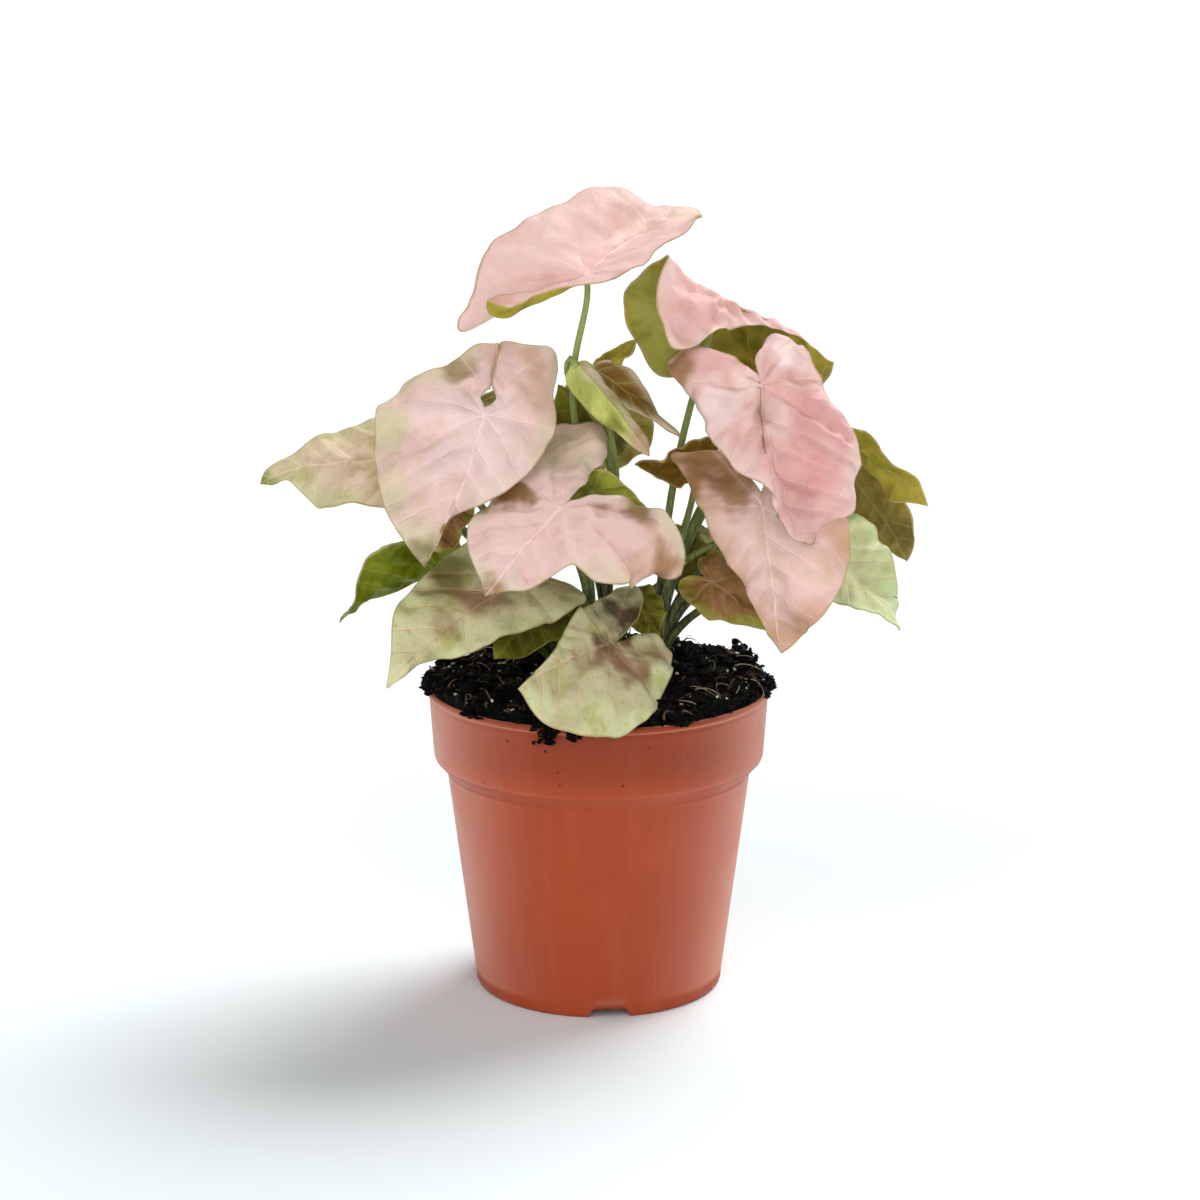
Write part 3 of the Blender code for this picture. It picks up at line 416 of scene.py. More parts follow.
def open_hole(leaf, across, along):
    """Pushes the sinus edges apart about a point behind the junction, by a bell curve, to leave a gap.

    Further back it draws both edges in towards the midline, so that the lobes all but meet.
    """
    if not leaf["hole"]:
        return across
    behind, width, spread, shut = (value / 100 for value in leaf["hole"])
    near = np.exp(-(np.abs(across) / 0.16) ** 2)
    bell = np.exp(-((along + behind) / spread) ** 2) * near
    drawn = smooth_step(-along, behind + 0.06, behind + 0.16) * np.exp(-(np.abs(across) / 0.2) ** 2)
    side = np.where(across >= 0, 1, -1)
    return across + side * (bell * width * (along < 0) - drawn * np.minimum(np.abs(across) * 0.94, shut))


# Veins and relief

# Veins to a blade length ahead of the junction and to a lobe behind it, and how each leaves the midrib
VEINS_AHEAD = 5.4
VEINS_BEHIND = 2.6
VEIN_SLANT = 0.72
VEIN_CURVE = 0.55

# Half widths of the dips over a side vein and over the midrib, in millimetres
VEIN_DIP = 2.6
RIB_DIP = 1.7

# Share of the way to the margin at which it starts to roll
ROLL_FROM = 0.8


def vein_field(across, along, right_side):
    """Vein number and how far apart the veins are, in blade lengths for each number.

    Ahead of the junction the number grows with the height at which a slanting, arching vein leaves the
    midrib. Behind it the veins fan out from the junction into the lobe, and the number falls with the
    angle.
    """
    u = np.abs(across)
    left_shift = np.where(right_side, 0.0, 0.35)
    wobble = 0.10 * np.sin(7 * u + 3 * along + left_shift * 9) + 0.06 * np.sin(17 * along - 11 * u)
    leaves_at = along - VEIN_SLANT * u - VEIN_CURVE * u**2
    number_ahead = VEINS_AHEAD * leaves_at
    spacing_ahead = 1 / (VEINS_AHEAD * np.sqrt(1 + (VEIN_SLANT + 2 * VEIN_CURVE * u) ** 2))
    start = np.arctan2(1.0, VEIN_SLANT + VEIN_CURVE * u)
    angle = np.arctan2(u, along)
    number_behind = -VEINS_BEHIND * (angle - start) / (math.pi - start)
    spacing_behind = np.hypot(u, along) * (math.pi - start) / VEINS_BEHIND
    ahead = leaves_at >= 0
    number = np.where(ahead, number_ahead + wobble * np.clip(number_ahead, 0, 1), number_behind)
    return number, np.where(ahead, spacing_ahead, spacing_behind)


def crumple(seed, across, along):
    """Uneven swelling of about one unit: eight sine waves that run over the blade in chance directions."""
    random = np.random.default_rng(seed)
    total = 0
    for pace in (9, 12, 16, 21, 27, 35, 45, 58):
        heading, start = random.uniform(0, math.tau, 2)
        way = across * math.cos(heading) + along * math.sin(heading)
        total = total + np.sin(pace * way + start) * 9 / pace
    return total


def roll_margin(leaf, seed, grid, normal, spread, angle, slack):
    """Bends the blade past a ring near the margin in an arc, up or down, by a turn that varies round it."""
    turn = slack * (np.sin(3 * angle + seed) + 0.8 * np.sin(7 * angle + 2 * seed)) / 1.8
    for centre, width, degrees in leaf["rolls"]:
        window = np.exp(-(((np.degrees(angle) - centre) / width) ** 2))
        turn = turn * (1 - window) + math.radians(degrees) * window
    start = int(np.searchsorted(spread, ROLL_FROM))
    out = grid[start] - grid[start - 1]
    out = out / np.linalg.norm(out, axis=1)[:, None]
    distance = np.linalg.norm(grid[start:] - grid[start], axis=2)
    run, lift = arc_run(distance, 0.0, turn / distance[-1])
    rolled = grid[start] + out * run[..., None] + normal[start] * lift[..., None]
    rolled_share = np.clip(np.abs(turn) / 0.5, 0, 1)[:, None]
    grid[start:] = grid[start:] * (1 - rolled_share) + rolled * rolled_share
    return grid


def relief(leaf, length, across, along, share, seed):
    """Height of the upper face in metres: low over the midrib and veins, and swollen between them."""
    number, spacing = vein_field(across, along, across >= 0)
    off_vein = np.abs(number - np.round(number)) * spacing * length / MM
    off_rib = np.abs(across) * length / MM
    rib_here = np.clip(along * 12 + 1, 0, 1)
    puff = 1 - np.exp(-np.abs(off_vein / VEIN_DIP) ** 1.5) * np.clip(spacing * length / MM / 4, 0, 1)
    rib = np.exp(-((off_rib / RIB_DIP) ** 2)) * rib_here
    fade = np.clip((1 - share) / 0.12, 0.25, 1) * np.clip(share / 0.15, 0, 1)
    swell = 1.15 * leaf["quilt"] * (puff - 0.5) * fade
    uneven = (0.25 + 0.6 * leaf["quilt"]) * crumple(seed, across, along) * np.clip(share / 0.2, 0, 1)
    return (swell + uneven - (0.2 + leaf["quilt"] * 0.15) * rib * fade) * MM, rib, off_vein


def plain(red, green, blue):
    """Linear colour from red, green and blue from 0 to 255."""
    seen = np.array([red, green, blue]) / 255
    return np.where(seen <= 0.04045, seen / 12.92, ((seen + 0.055) / 1.055) ** 2.4)


def colour(red, green, blue):
    """Colour of a surface that is seen as this red, green and blue in the stage's light."""
    return plain(red, green, blue) * LIGHT_SHARE


def tint(name):
    """Colour of a named tint."""
    return colour(*TINTS[name])


def smooth_step(value, low, high):
    """0 below low, 1 above high and an even S-curve between them."""
    t = np.clip((value - low) / (high - low), 0, 1)
    return t * t * (3 - 2 * t)


def upper_tints(leaf, across, along, share, seed):
    """Colour of each upper point: the middle tint, the rim tint towards the margin, then the patches."""
    _, middle, rim, _, _ = LOOKS[leaf["look"]]
    drift = 0.09 * crumple(seed + 1, across, along)
    ragged = 0.2 * crumple(seed + 2, 2 * across, 2 * along)
    toward_rim = smooth_step(share + drift, leaf["edge"], 1.12)[:, None]
    shown = tint(middle) * (1 - toward_rim) + tint(rim) * toward_rim
    return patched(shown, leaf["patches"], across, along, ragged)


def patched(shown, patches, across, along, ragged):
    """Colours with round patches laid over them. The borders run in and out by the ragged values."""
    for x, y, radius, strength, name in patches:
        far = np.hypot(across - x / 100, along - y / 100) / (radius / 100)
        weight = (strength * (1 - smooth_step(far + ragged, 0.3, 1.25)))[:, None]
        shown = shown * (1 - weight) + tint(name) * weight
    return shown


def vertex_normals(points, faces):
    """Unit normals of grid points, from the crossed diagonals of the four-sided faces round each."""
    corner = points[faces]
    normal = np.cross(corner[:, 2] - corner[:, 0], corner[:, 3] - corner[:, 1])
    total = np.zeros_like(points)
    for place in range(4):
        np.add.at(total, faces[:, place], normal)
    return total / np.maximum(np.linalg.norm(total, axis=1), 1e-12)[:, None]


def make_mesh(name, points, faces, uvs=None, attributes=None, slots=None, smooth=True):
    """A mesh object from arrays. faces is a list of arrays of three or four corners."""
    mesh = bpy.data.meshes.new(name)
    mesh.vertices.add(len(points))
    mesh.vertices.foreach_set("co", np.asarray(points, np.float32).ravel())
    corners = np.concatenate([f.ravel() for f in faces]).astype(np.int32)
    totals = np.concatenate([np.full(len(f), f.shape[1], np.int32) for f in faces])
    mesh.loops.add(len(corners))
    mesh.loops.foreach_set("vertex_index", corners)
    mesh.polygons.add(len(totals))
    mesh.polygons.foreach_set("loop_start", np.concatenate([[0], np.cumsum(totals)[:-1]]).astype(np.int32))
    mesh.update(calc_edges=True)
    for key, value in (uvs or {}).items():
        layer = mesh.uv_layers.new(name=key)
        layer.data.foreach_set("uv", np.asarray(value, np.float32)[corners].ravel())
    for key, value in (attributes or {}).items():
        value = np.asarray(value, np.float32)
        kind = "FLOAT" if value.ndim == 1 else "FLOAT_COLOR"
        layer = mesh.attributes.new(key, kind, "POINT")
        layer.data.foreach_set("value" if value.ndim == 1 else "color", value.ravel())
    if slots is not None:
        mesh.polygons.foreach_set("material_index", slots.astype(np.int32))
    mesh.polygons.foreach_set("use_smooth", np.full(len(totals), smooth))
    mesh.validate()
    made = bpy.data.objects.new(name, mesh)
    bpy.context.scene.collection.objects.link(made)
    return made


def ring_quads(rings, count):
    """Four-sided faces from each of a number of rings of count points to the ring after it."""
    here = np.arange(count)
    after = (here + 1) % count
    start = np.arange(rings)[:, None] * count
    quads = np.stack([start + here, start + after, start + count + after, start + count + here], axis=-1)
    return quads.reshape(-1, 4)


def fan(tip, start, count, turned=False):
    """Triangles from a tip to each pair of neighbours in the ring of count points that begins at start."""
    here = np.arange(count)
    after = (here + 1) % count
    first, second = (after, here) if turned else (here, after)
    return np.stack([np.full(count, tip), start + first, start + second], axis=-1)


# Points along half a margin, and rings, in a small and in a full blade's grid
SMALL_GRID = (34, 14)
FULL_GRID = (96, 40)
FIRST_RING = 0.02


def flat_grid(leaf):
    """Flat grid of a blade, in blade lengths: rings that spread from the junction out to the margin."""
    around, rings = SMALL_GRID if leaf["small"] else FULL_GRID
    right = half_outline(leaf, "right", around)
    left = half_outline(leaf, "left", around) * (-1, 1)
    margin = np.vstack([right, left[::-1][1:-1]])
    spread = np.linspace(FIRST_RING, 1, rings + 1) ** 0.9
    across, along = (spread[:, None, None] * margin).reshape(-1, 2).T
    return SimpleNamespace(margin=margin, count=len(margin), spread=spread, across=across, along=along,
                           share=np.repeat(spread, len(margin)), quads=ring_quads(rings, len(margin)))


def middle_surface(leaf, grid, seed, settings):
    """Places and normals of a blade's middle surface. A full blade's margin is rolled here and there."""
    across = open_hole(leaf, grid.across, grid.along)
    middle = blade_point(leaf, across, grid.along, settings.wave)
    normal = vertex_normals(middle, grid.quads)
    if leaf["small"]:
        return middle, normal
    shape = (len(grid.spread), grid.count, 3)
    angle = np.arctan2(*grid.margin.T)
    middle = roll_margin(leaf, seed, middle.reshape(shape), normal.reshape(shape), grid.spread, angle,
                         settings.slack).reshape(-1, 3)
    return middle, vertex_normals(middle, grid.quads)


def closed_skins(top, under, grid):
    """Points, faces and slots of a closed blade: two skins, a band at the rim and a fan in each middle."""
    total, count = len(top), grid.count
    points = np.vstack([top, under, [top[:count].mean(0)], [under[:count].mean(0)]])
    here = np.arange(count)
    after = (here + 1) % count
    edge = total - count
    rim = np.stack([edge + here, edge + after, edge + after + total, edge + here + total], axis=-1)
    faces = [grid.quads, grid.quads[:, ::-1] + total, rim, fan(2 * total, 0, count, True),
             fan(2 * total + 1, total, count)]
    slots = np.concatenate([np.full(len(f), slot) for f, slot in zip(faces, (0, 1, 0, 0, 1))])
    return points, faces, slots


def blade_tints(leaf, grid, seed):
    """Colour of every point, with its mottle, and of the veins there, with their strength."""
    _, _, _, vein_name, under_name = LOOKS[leaf["look"]]
    across, along = grid.across, grid.along
    upper = upper_tints(leaf, across, along, grid.share, seed)
    lower = np.tile(tint(under_name), (len(across), 1))
    lower = lower * (1 + 0.06 * crumple(seed + 3, across, along))[:, None]
    lower = patched(lower, leaf["under_patches"], across, along, 0.2 * crumple(seed + 4, across, along))
    shown = np.vstack([upper, lower, upper[:1], lower[:1]])
    mottle = np.full((len(shown), 1), leaf["mottle"])
    return np.hstack([shown, mottle]), np.tile([*tint(vein_name), leaf["veins"]], (len(shown), 1))


def build_blade(name, leaf, settings):
    """One blade: rings about the junction out to the margin, on an upper and a lower skin joined at the rim.

    Every skin point is the middle surface's point plus its normal times half the thickness and the relief,
    and the lower skin stands out along the midrib.
    """
    seed = sum(map(ord, name))
    grid = flat_grid(leaf)
    across, along, share = grid.across, grid.along, grid.share
    length = blade_frame(leaf)[0]
    middle, normal = middle_surface(leaf, grid, seed, settings)
    height, rib, off_vein = relief(leaf, length, across, along, share, seed)
    half = settings.thickness / 2
    keel = (0.45 * rib * np.clip(1.1 - along, 0, 1) + 0.12 * np.exp(-((off_vein / 0.8) ** 2))) * MM
    top = middle + normal * (height + half)[:, None]
    under = middle + normal * (height - half - keel * (share < 0.98))[:, None]
    points, faces, slots = closed_skins(top, under, grid)
    number, spacing = vein_field(across, along, across >= 0)
    to_mm = length / MM
    inward = (1 - share) * np.tile(np.hypot(*grid.margin.T), len(grid.spread)) * to_mm

    def both(values, last=0):
        """Values of both skins' points, then of their two middles."""
        return np.concatenate([values, values, [last, last]])

    uvs = {"blade": np.stack([both(across) * to_mm, both(along) * to_mm], axis=-1),
           "veins": np.stack([both(number), both(spacing) * to_mm], axis=-1)}
    shown, vein_shown = blade_tints(leaf, grid, seed)
    attributes = {"tint": shown, "vein_tint": vein_shown, "inward": both(inward, 50.0)}
    blade = make_mesh(name + "_fine", points, faces, uvs, attributes, slots)
    finish(blade, ("leaf_upper", "leaf_under"), name)


def finish(piece, materials, replaced=None):
    """Gives a piece its materials, lets it ride on the part and hides the node it replaces."""
    for material in materials:
        piece.data.materials.append(bpy.data.materials[material])
    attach(piece, "root")
    if replaced:
        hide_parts(replaced)


# Stalks

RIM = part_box("pot")[1].x
SOIL_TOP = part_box("pot")[1].z + 0.8 * MM

# How far short of the junction a stalk stops that runs on from the midrib, in blade lengths
INLINE_GAP = 0.032
STALK_STEPS = 44
STALK_SIDES = 12

# The foot that a crown's stalks share: its ends below and above the soil's edge, and its radius at each
FOOT_ENDS = (-14, 9)
FOOT_RADII = (4.2, 3.1)
FOOT_STEPS = 12
FOOT_SIDES = 20


def stalk_path(leaf, root, steps):
    """Points of a stalk on a cubic curve from its root to its blade, with a bump that leans it aside."""
    length, ahead, _, upper = blade_frame(leaf)
    onward = ahead if leaf["inline"] else upper
    tent = math.radians(max(0, -min(leaf["fold"])))
    clearance = 0.8 * MM / math.cos(tent) + 1.1 * MM * math.tan(tent)
    if leaf["inline"]:
        clearance += INLINE_GAP * length
    end = np.array(leaf["junction"]) - onward * clearance
    neck = end - onward * 2.5 * MM
    span = np.linalg.norm(neck - root)
    rising = root + np.array([0, 0, span * 0.55])
    arriving = neck - unit(onward * 0.6 + np.array([0, 0, 1])) * span * 0.25
    t = np.linspace(0, 1, steps)[:, None]
    curve = (1 - t)**3 * root + 3 * (1 - t)**2 * t * rising + 3 * (1 - t) * t**2 * arriving + t**3 * neck
    curve = curve + 14 * t**3 * (1 - t)**2 * np.array([*leaf["lean"], 0])
    touch = end + onward * (0.6 * MM + INLINE_GAP * length * leaf["inline"])
    return np.vstack([curve, end, touch])


def tube(path, radius, sides):
    """Points and faces of a round tube along a path, closed at both ends.

    Each ring is the circle cos(a) side + sin(a) up about its path point, scaled by the radius there. side is
    the part of one fixed direction that is square to the path, and up is square to both.
    """
    path = np.asarray(path, float)
    along = np.gradient(path, axis=0)
    along /= np.linalg.norm(along, axis=1)[:, None]
    hint = np.array([1.0, 0.3, 0.1]) if abs(along[0, 0]) < 0.8 else np.array([0.1, 1.0, 0.3])
    side = np.cross(along, np.cross(hint, along))
    side /= np.linalg.norm(side, axis=1)[:, None]
    up = np.cross(along, side)
    a = np.linspace(0, math.tau, sides, endpoint=False)
    ring = np.cos(a)[None, :, None] * side[:, None] + np.sin(a)[None, :, None] * up[:, None]
    points = (path[:, None] + ring * np.broadcast_to(radius, len(path))[:, None, None]).reshape(-1, 3)
    base = len(points)
    caps = np.vstack([fan(base, 0, sides, True), fan(base + 1, base - sides, sides)])
    return np.vstack([points, path[:1], path[-1:]]), [ring_quads(len(path) - 1, sides), caps]


def joined(pieces):
    """Points and faces of several meshes as one."""
    points, quads, triangles, start = [], [], [], 0
    for part_points, part_faces in pieces:
        for faces in part_faces:
            (quads if faces.shape[1] == 4 else triangles).append(faces + start)
        points.append(part_points)
        start += len(part_points)
    kinds = [np.concatenate(kind) for kind in (quads, triangles) if kind]
    return np.vstack(points), kinds


def build_crown(name, settings):
    """One crown: its leaves' stalks, each sheathed at the foot and flared under the blade."""
    x, y = CROWNS[name]
    pieces = []
    for leaf in BLADES.values():
        leaf = {**USUAL, **leaf}
        if leaf["crown"] != name:
            continue
        toward = unit(np.array(leaf["junction"][:2]) - (x, y))
        root = np.array([*(np.array([x, y]) + toward * 0.9 * MM), SOIL_TOP - 4 * MM])
        path = stalk_path(leaf, root, STALK_STEPS)
        t = np.linspace(0, 1, len(path))
        radius = settings.stalk_foot + (settings.stalk_top - settings.stalk_foot) * t**0.7
        sheath = 0.5 * MM * np.exp(-(((t - 0.04) / 0.09) ** 2))
        flare = 0.35 * MM * smooth_step(t, 0.95, 1)
        pieces.append(tube(path, radius + sheath + flare, STALK_SIDES))
    height = SOIL_TOP + np.linspace(*FOOT_ENDS, FOOT_STEPS) * MM
    foot = np.stack([np.full(FOOT_STEPS, x), np.full(FOOT_STEPS, y), height], axis=-1)
    pieces.append(tube(foot, np.linspace(*FOOT_RADII, FOOT_STEPS) * MM, FOOT_SIDES))
    dress("crown_" + name + "_fine", joined(pieces), "stalk", "crown_" + name)


# Soil

def heap(x, y, settings):
    """Height of the soil's top: a mound, highest in the middle, under three sizes of lump."""
    share = np.clip(np.hypot(x, y) / RIM, 0, 1.02)
    mound = settings.rise * (1 - share**3)
    knobs = 1.8 * np.sin(310 * x + 1.3) * np.sin(270 * y + 0.4) + 1.0 * np.sin(520 * x - 430 * y)
    grain = np.abs(np.sin(900 * x + 3 * np.sin(700 * y))) * np.abs(np.sin(850 * y + 2 * np.sin(800 * x)))
    fine = np.sin(2300 * x + 4 * np.sin(1500 * y)) * np.sin(2100 * y + 3 * np.sin(1700 * x))
    return SOIL_TOP + mound + (knobs + 1.6 * grain + 0.5 * fine) * MM


HEAP_RINGS = 90
HEAP_STEPS = 220
HEAP_EDGE = RIM - 2.1 * MM
SKIRT = 12 * MM


def soil_surface(settings):
    """A round grid: rings of the heap's height out to the pot's wall, then a skirt down inside the wall."""
    rings, steps = HEAP_RINGS, HEAP_STEPS
    radius = np.linspace(0.004, 1, rings) * HEAP_EDGE
    angle = np.linspace(0, math.tau, steps, endpoint=False)
    x = (radius[:, None] * np.cos(angle)).ravel()
    y = (radius[:, None] * np.sin(angle)).ravel()
    top = np.stack([x, y, heap(x, y, settings)], axis=-1)
    skirt = top[-steps:].copy()
    skirt[:, 2] = SOIL_TOP - SKIRT
    points = np.vstack([top, skirt, [[0, 0, heap(0.0, 0.0, settings)]], [[0, 0, SOIL_TOP - SKIRT]]])
    centre = rings * steps + steps
    fans = np.vstack([fan(centre, 0, steps), fan(centre + 1, rings * steps, steps, True)])
    return points, [ring_quads(rings, steps)[:, [0, 3, 2, 1]], fans]


LUMP_SIDES = 7
LUMP_ROWS = 4
LUMP_FLATNESS = 0.75


def lumps(places, sizes, random):
    """Many small stones of peat: each a ball of a few dozen faces whose points are moved in and out."""
    a = np.linspace(0, math.tau, LUMP_SIDES, endpoint=False)
    rows = np.linspace(-1, 1, LUMP_ROWS + 2)[1:-1]
    ball = np.array([(math.sqrt(1 - r * r) * math.cos(b), math.sqrt(1 - r * r) * math.sin(b), r)
                     for r in rows for b in a] + [(0, 0, -1), (0, 0, 1)])
    many = len(places)
    shape = ball[None] * random.uniform(0.55, 1.25, (many, len(ball), 1))
    shape = shape * random.uniform(0.55, 1.3, (many, 1, 3)) * (1, 1, LUMP_FLATNESS)
    turn = random.uniform(0, math.tau, (many, 1))
    x = shape[..., 0] * np.cos(turn) - shape[..., 1] * np.sin(turn)
    y = shape[..., 0] * np.sin(turn) + shape[..., 1] * np.cos(turn)
    points = np.stack([x, y, shape[..., 2]], axis=-1) * sizes[:, None, None] + places[:, None]
    quads = ring_quads(LUMP_ROWS - 1, LUMP_SIDES)
    low, last = len(ball) - 2, (LUMP_ROWS - 1) * LUMP_SIDES
    caps = np.vstack([fan(low, 0, LUMP_SIDES, True), fan(low + 1, last, LUMP_SIDES)])
    step = (np.arange(many) * len(ball))[:, None, None]
    return points.reshape(-1, 3), [(quads + step).reshape(-1, 4), (caps + step).reshape(-1, 3)]


def scattered(random, many, inner, outer, settings):
    """Places spread evenly over a ring of the heap's top."""
    radius = np.sqrt(random.uniform(inner**2, outer**2, many))
    angle = random.uniform(0, math.tau, many)
    x, y = radius * np.cos(angle), radius * np.sin(angle)
    return np.stack([x, y, heap(x, y, settings)], axis=-1)


# Piles of crumbs along the rim: degrees round from the right, half width in degrees, how far out past the
# rim, how high over it and how far down, in millimetres, and how many
PILES = ((0, 180, -1.0, 1.4, 0.6, 330), (182, 17, 0.8, 3.4, 0.4, 70), (168, 9, -2.0, 9.0, 0.0, 70),
         (-4, 15, 0.6, 3.2, 0.4, 60), (20, 14, -3.0, 9.0, 0.0, 90), (-107, 6, 1.3, 1.2, 6.5, 46),
         (-62, 7, 0.5, 1.8, 1.5, 26), (-135, 6, 0.5, 1.8, 1.2, 22), (-98, 3, 1.2, 0.8, 4.0, 12))

# Loose pieces of the soil, in the order in which they are scattered: how many, or the setting that says so,
# and the inner and outer radius of the ring they lie in. Then, in millimetres, how far over the heap they
# lie and their least and greatest size. A strand also has its radius in millimetres, the least and greatest
# angle at which it sets off, and its steps
LOOSE = {
    "soil_crumbs": dict(many="crumbs", ring=(0.0, RIM - 1 * MM), size=(0.5, 1.9), finish="soil"),
    "soil_clods": dict(many=190, ring=(10 * MM, RIM - 3 * MM), size=(2.0, 5.2), finish="soil"),
    "soil_spill": dict(many="piles", size=(0.5, 1.8), finish="soil"),
    "soil_grains": dict(many=170, ring=(8 * MM, RIM - 2 * MM), over=1.4, size=(0.25, 0.8), finish="perlite"),
    "soil_fibres": dict(many="fibres", ring=(6 * MM, RIM - 3 * MM), over=0.6, size=(3, 9), finish="fibre",
                        strand=(0.19, (-0.1, 1.0), 7)),
    "soil_roots": dict(many=60, ring=(20 * MM, RIM - 5 * MM), over=1.2, size=(5, 18), finish="root",
                       strand=(0.17, (0.1, 0.7), 14)),
    "soil_twigs": dict(many=44, ring=(RIM - 12 * MM, RIM - 1 * MM), over=0.5, size=(4, 11), finish="fibre",
                       strand=(0.42, (0.5, 1.3), 7)),
}


def heaped(random, around, width, beyond, above, below, many):
    """Places of crumbs piled along a stretch of the rim. Those past the rim hang down its outside."""
    angle = np.radians(around + width * random.uniform(-1, 1, many) * random.uniform(0.3, 1, many))
    radius = RIM + beyond * MM - random.uniform(0, 3.2, many) * MM
    outside = radius > RIM - 0.8 * MM
    share = random.uniform(0, 1, many)
    top = SOIL_TOP + above * MM * share * (1 - np.abs(random.uniform(-0.8, 0.8, many)))
    hanging = SOIL_TOP - below * MM * random.uniform(0, 1, many)
    radius = np.where(outside, RIM + 0.5 * MM, radius)
    height = np.where(outside, hanging, top)
    return np.stack([radius * np.cos(angle), radius * np.sin(angle), height], axis=-1)


def strands(random, places, lengths, radius, rise, steps):
    """Thin bent fibres: each a tube of few sides whose path turns by a steady random amount."""
    pieces = []
    for place, length in zip(places, lengths):
        heading = random.uniform(0, math.tau)
        lift = random.uniform(*rise)
        bend = random.uniform(-2.4, 2.4)
        t = np.linspace(0, 1, steps)
        turn = heading + bend * t
        run = np.stack([np.cos(turn) * math.cos(lift), np.sin(turn) * math.cos(lift),
                        np.sin(lift - 1.1 * t)], axis=-1)
        path = place + np.cumsum(run, axis=0) * length / steps
        thick = radius * random.uniform(0.6, 1.4) * (1 - 0.6 * t)
        pieces.append(tube(path, thick, 4))
    return joined(pieces)


def dress(name, geometry, material, replaced=None, smooth=True):
    """Makes a riding piece from points and faces and gives it its material."""
    piece = make_mesh(name, *geometry, smooth=smooth)
    finish(piece, (material,), replaced)


def strew(random, name, kind, settings):
    """Scatters one kind of loose piece over the heap: strands, or lumps with flat faces."""
    if kind["many"] == "piles":
        places = np.vstack([heaped(random, *pile) for pile in PILES])
    else:
        many = getattr(settings, kind["many"]) if isinstance(kind["many"], str) else kind["many"]
        places = scattered(random, many, *kind["ring"], settings) + (0, 0, kind.get("over", 0) * MM)
    sizes = random.uniform(*kind["size"], len(places)) * MM
    if "strand" in kind:
        radius, rise, steps = kind["strand"]
        geometry = strands(random, places, sizes, radius * MM, rise, steps)
    else:
        geometry = lumps(places, sizes, random)
    dress(name, geometry, kind["finish"], smooth="strand" in kind)


# Pot

# Radius and height of the pot's outline, from the inside floor over the lip to the base
POT_ROWS = np.array([
    (3.0, 5.8), (42.7, 5.8), (43.3, 6.4), (52.7, 79.4), (57.4, 84.2), (59.2, 109.0), (59.45, 109.75),
    (59.9, 110.0), (60.6, 109.95), (61.15, 109.6), (61.3, 109.0), (61.25, 108.3), (60.9, 107.9),
    (60.5, 107.6), (60.35, 107.1), (60.5, 106.5), (60.3, 105.4), (59.1, 87.2), (58.95, 85.4),
    (58.5, 84.2), (57.5, 83.2), (55.4, 80.8), (54.5, 79.9), (54.2, 79.0), (54.0, 77.0), (44.55, 3.2),
    (44.45, 1.6), (44.1, 0.7), (43.3, 0.0), (40.0, 0.0), (39.8, 0.3), (39.8, 4.4), (39.5, 4.5),
    (3.0, 4.5)]) * MM

ROW_SPACING = 6 * MM

# Notches in the foot ring: how far the first is turned from the front, half a notch's width as an angle, its
# height, and the radius past which the ring is notched
NOTCHES = 3
NOTCH_TURN = math.radians(5)
NOTCH_HALF = 6.2 * MM / 41e-3
NOTCH_HEIGHT = 3.4 * MM
FOOT_INNER = 39.0 * MM


def finer_rows(rows):
    """The outline with points added along its longer stretches, about the row spacing apart."""
    fine = []
    for start, end in zip(rows[:-1], rows[1:]):
        cuts = max(1, int(math.hypot(*(end - start)) / ROW_SPACING))
        share = np.arange(cuts)[:, None] / cuts
        fine.append(start[None] * (1 - share) + end[None] * share)
    return np.vstack([*fine, rows[-1:]])


def pot_shell(settings):
    """The outline turned round the axis. Near the foot its low rows are lifted over three notches."""
    rows = finer_rows(POT_ROWS)
    steps = settings.pot_steps
    z = np.repeat(rows[:, 1], steps)
    radius = np.repeat(rows[:, 0], steps)
    turn = np.tile(np.linspace(0, math.tau, steps, endpoint=False), len(rows))
    at_foot = (radius > FOOT_INNER) & (z < NOTCH_HEIGHT) & (np.arange(len(z)) > len(z) // 3)
    for index in range(NOTCHES):
        centre = -math.pi / 2 + NOTCH_TURN + index * math.tau / NOTCHES
        off = (turn - centre + math.pi) % math.tau - math.pi
        inside = smooth_step(NOTCH_HALF - np.abs(off), -0.02, 0.02)
        z = np.where(at_foot, np.maximum(z, inside * NOTCH_HEIGHT), z)
    points = np.stack([radius * np.cos(turn), radius * np.sin(turn), z], axis=-1)
    centre = len(points)
    points = np.vstack([points, [(0, 0, rows[0, 1]), (0, 0, rows[-1, 1])]])
    fans = np.vstack([fan(centre, 0, steps), fan(centre + 1, centre - steps, steps, True)])
    return points, [ring_quads(len(rows) - 1, steps)[:, ::-1], fans]


# Materials

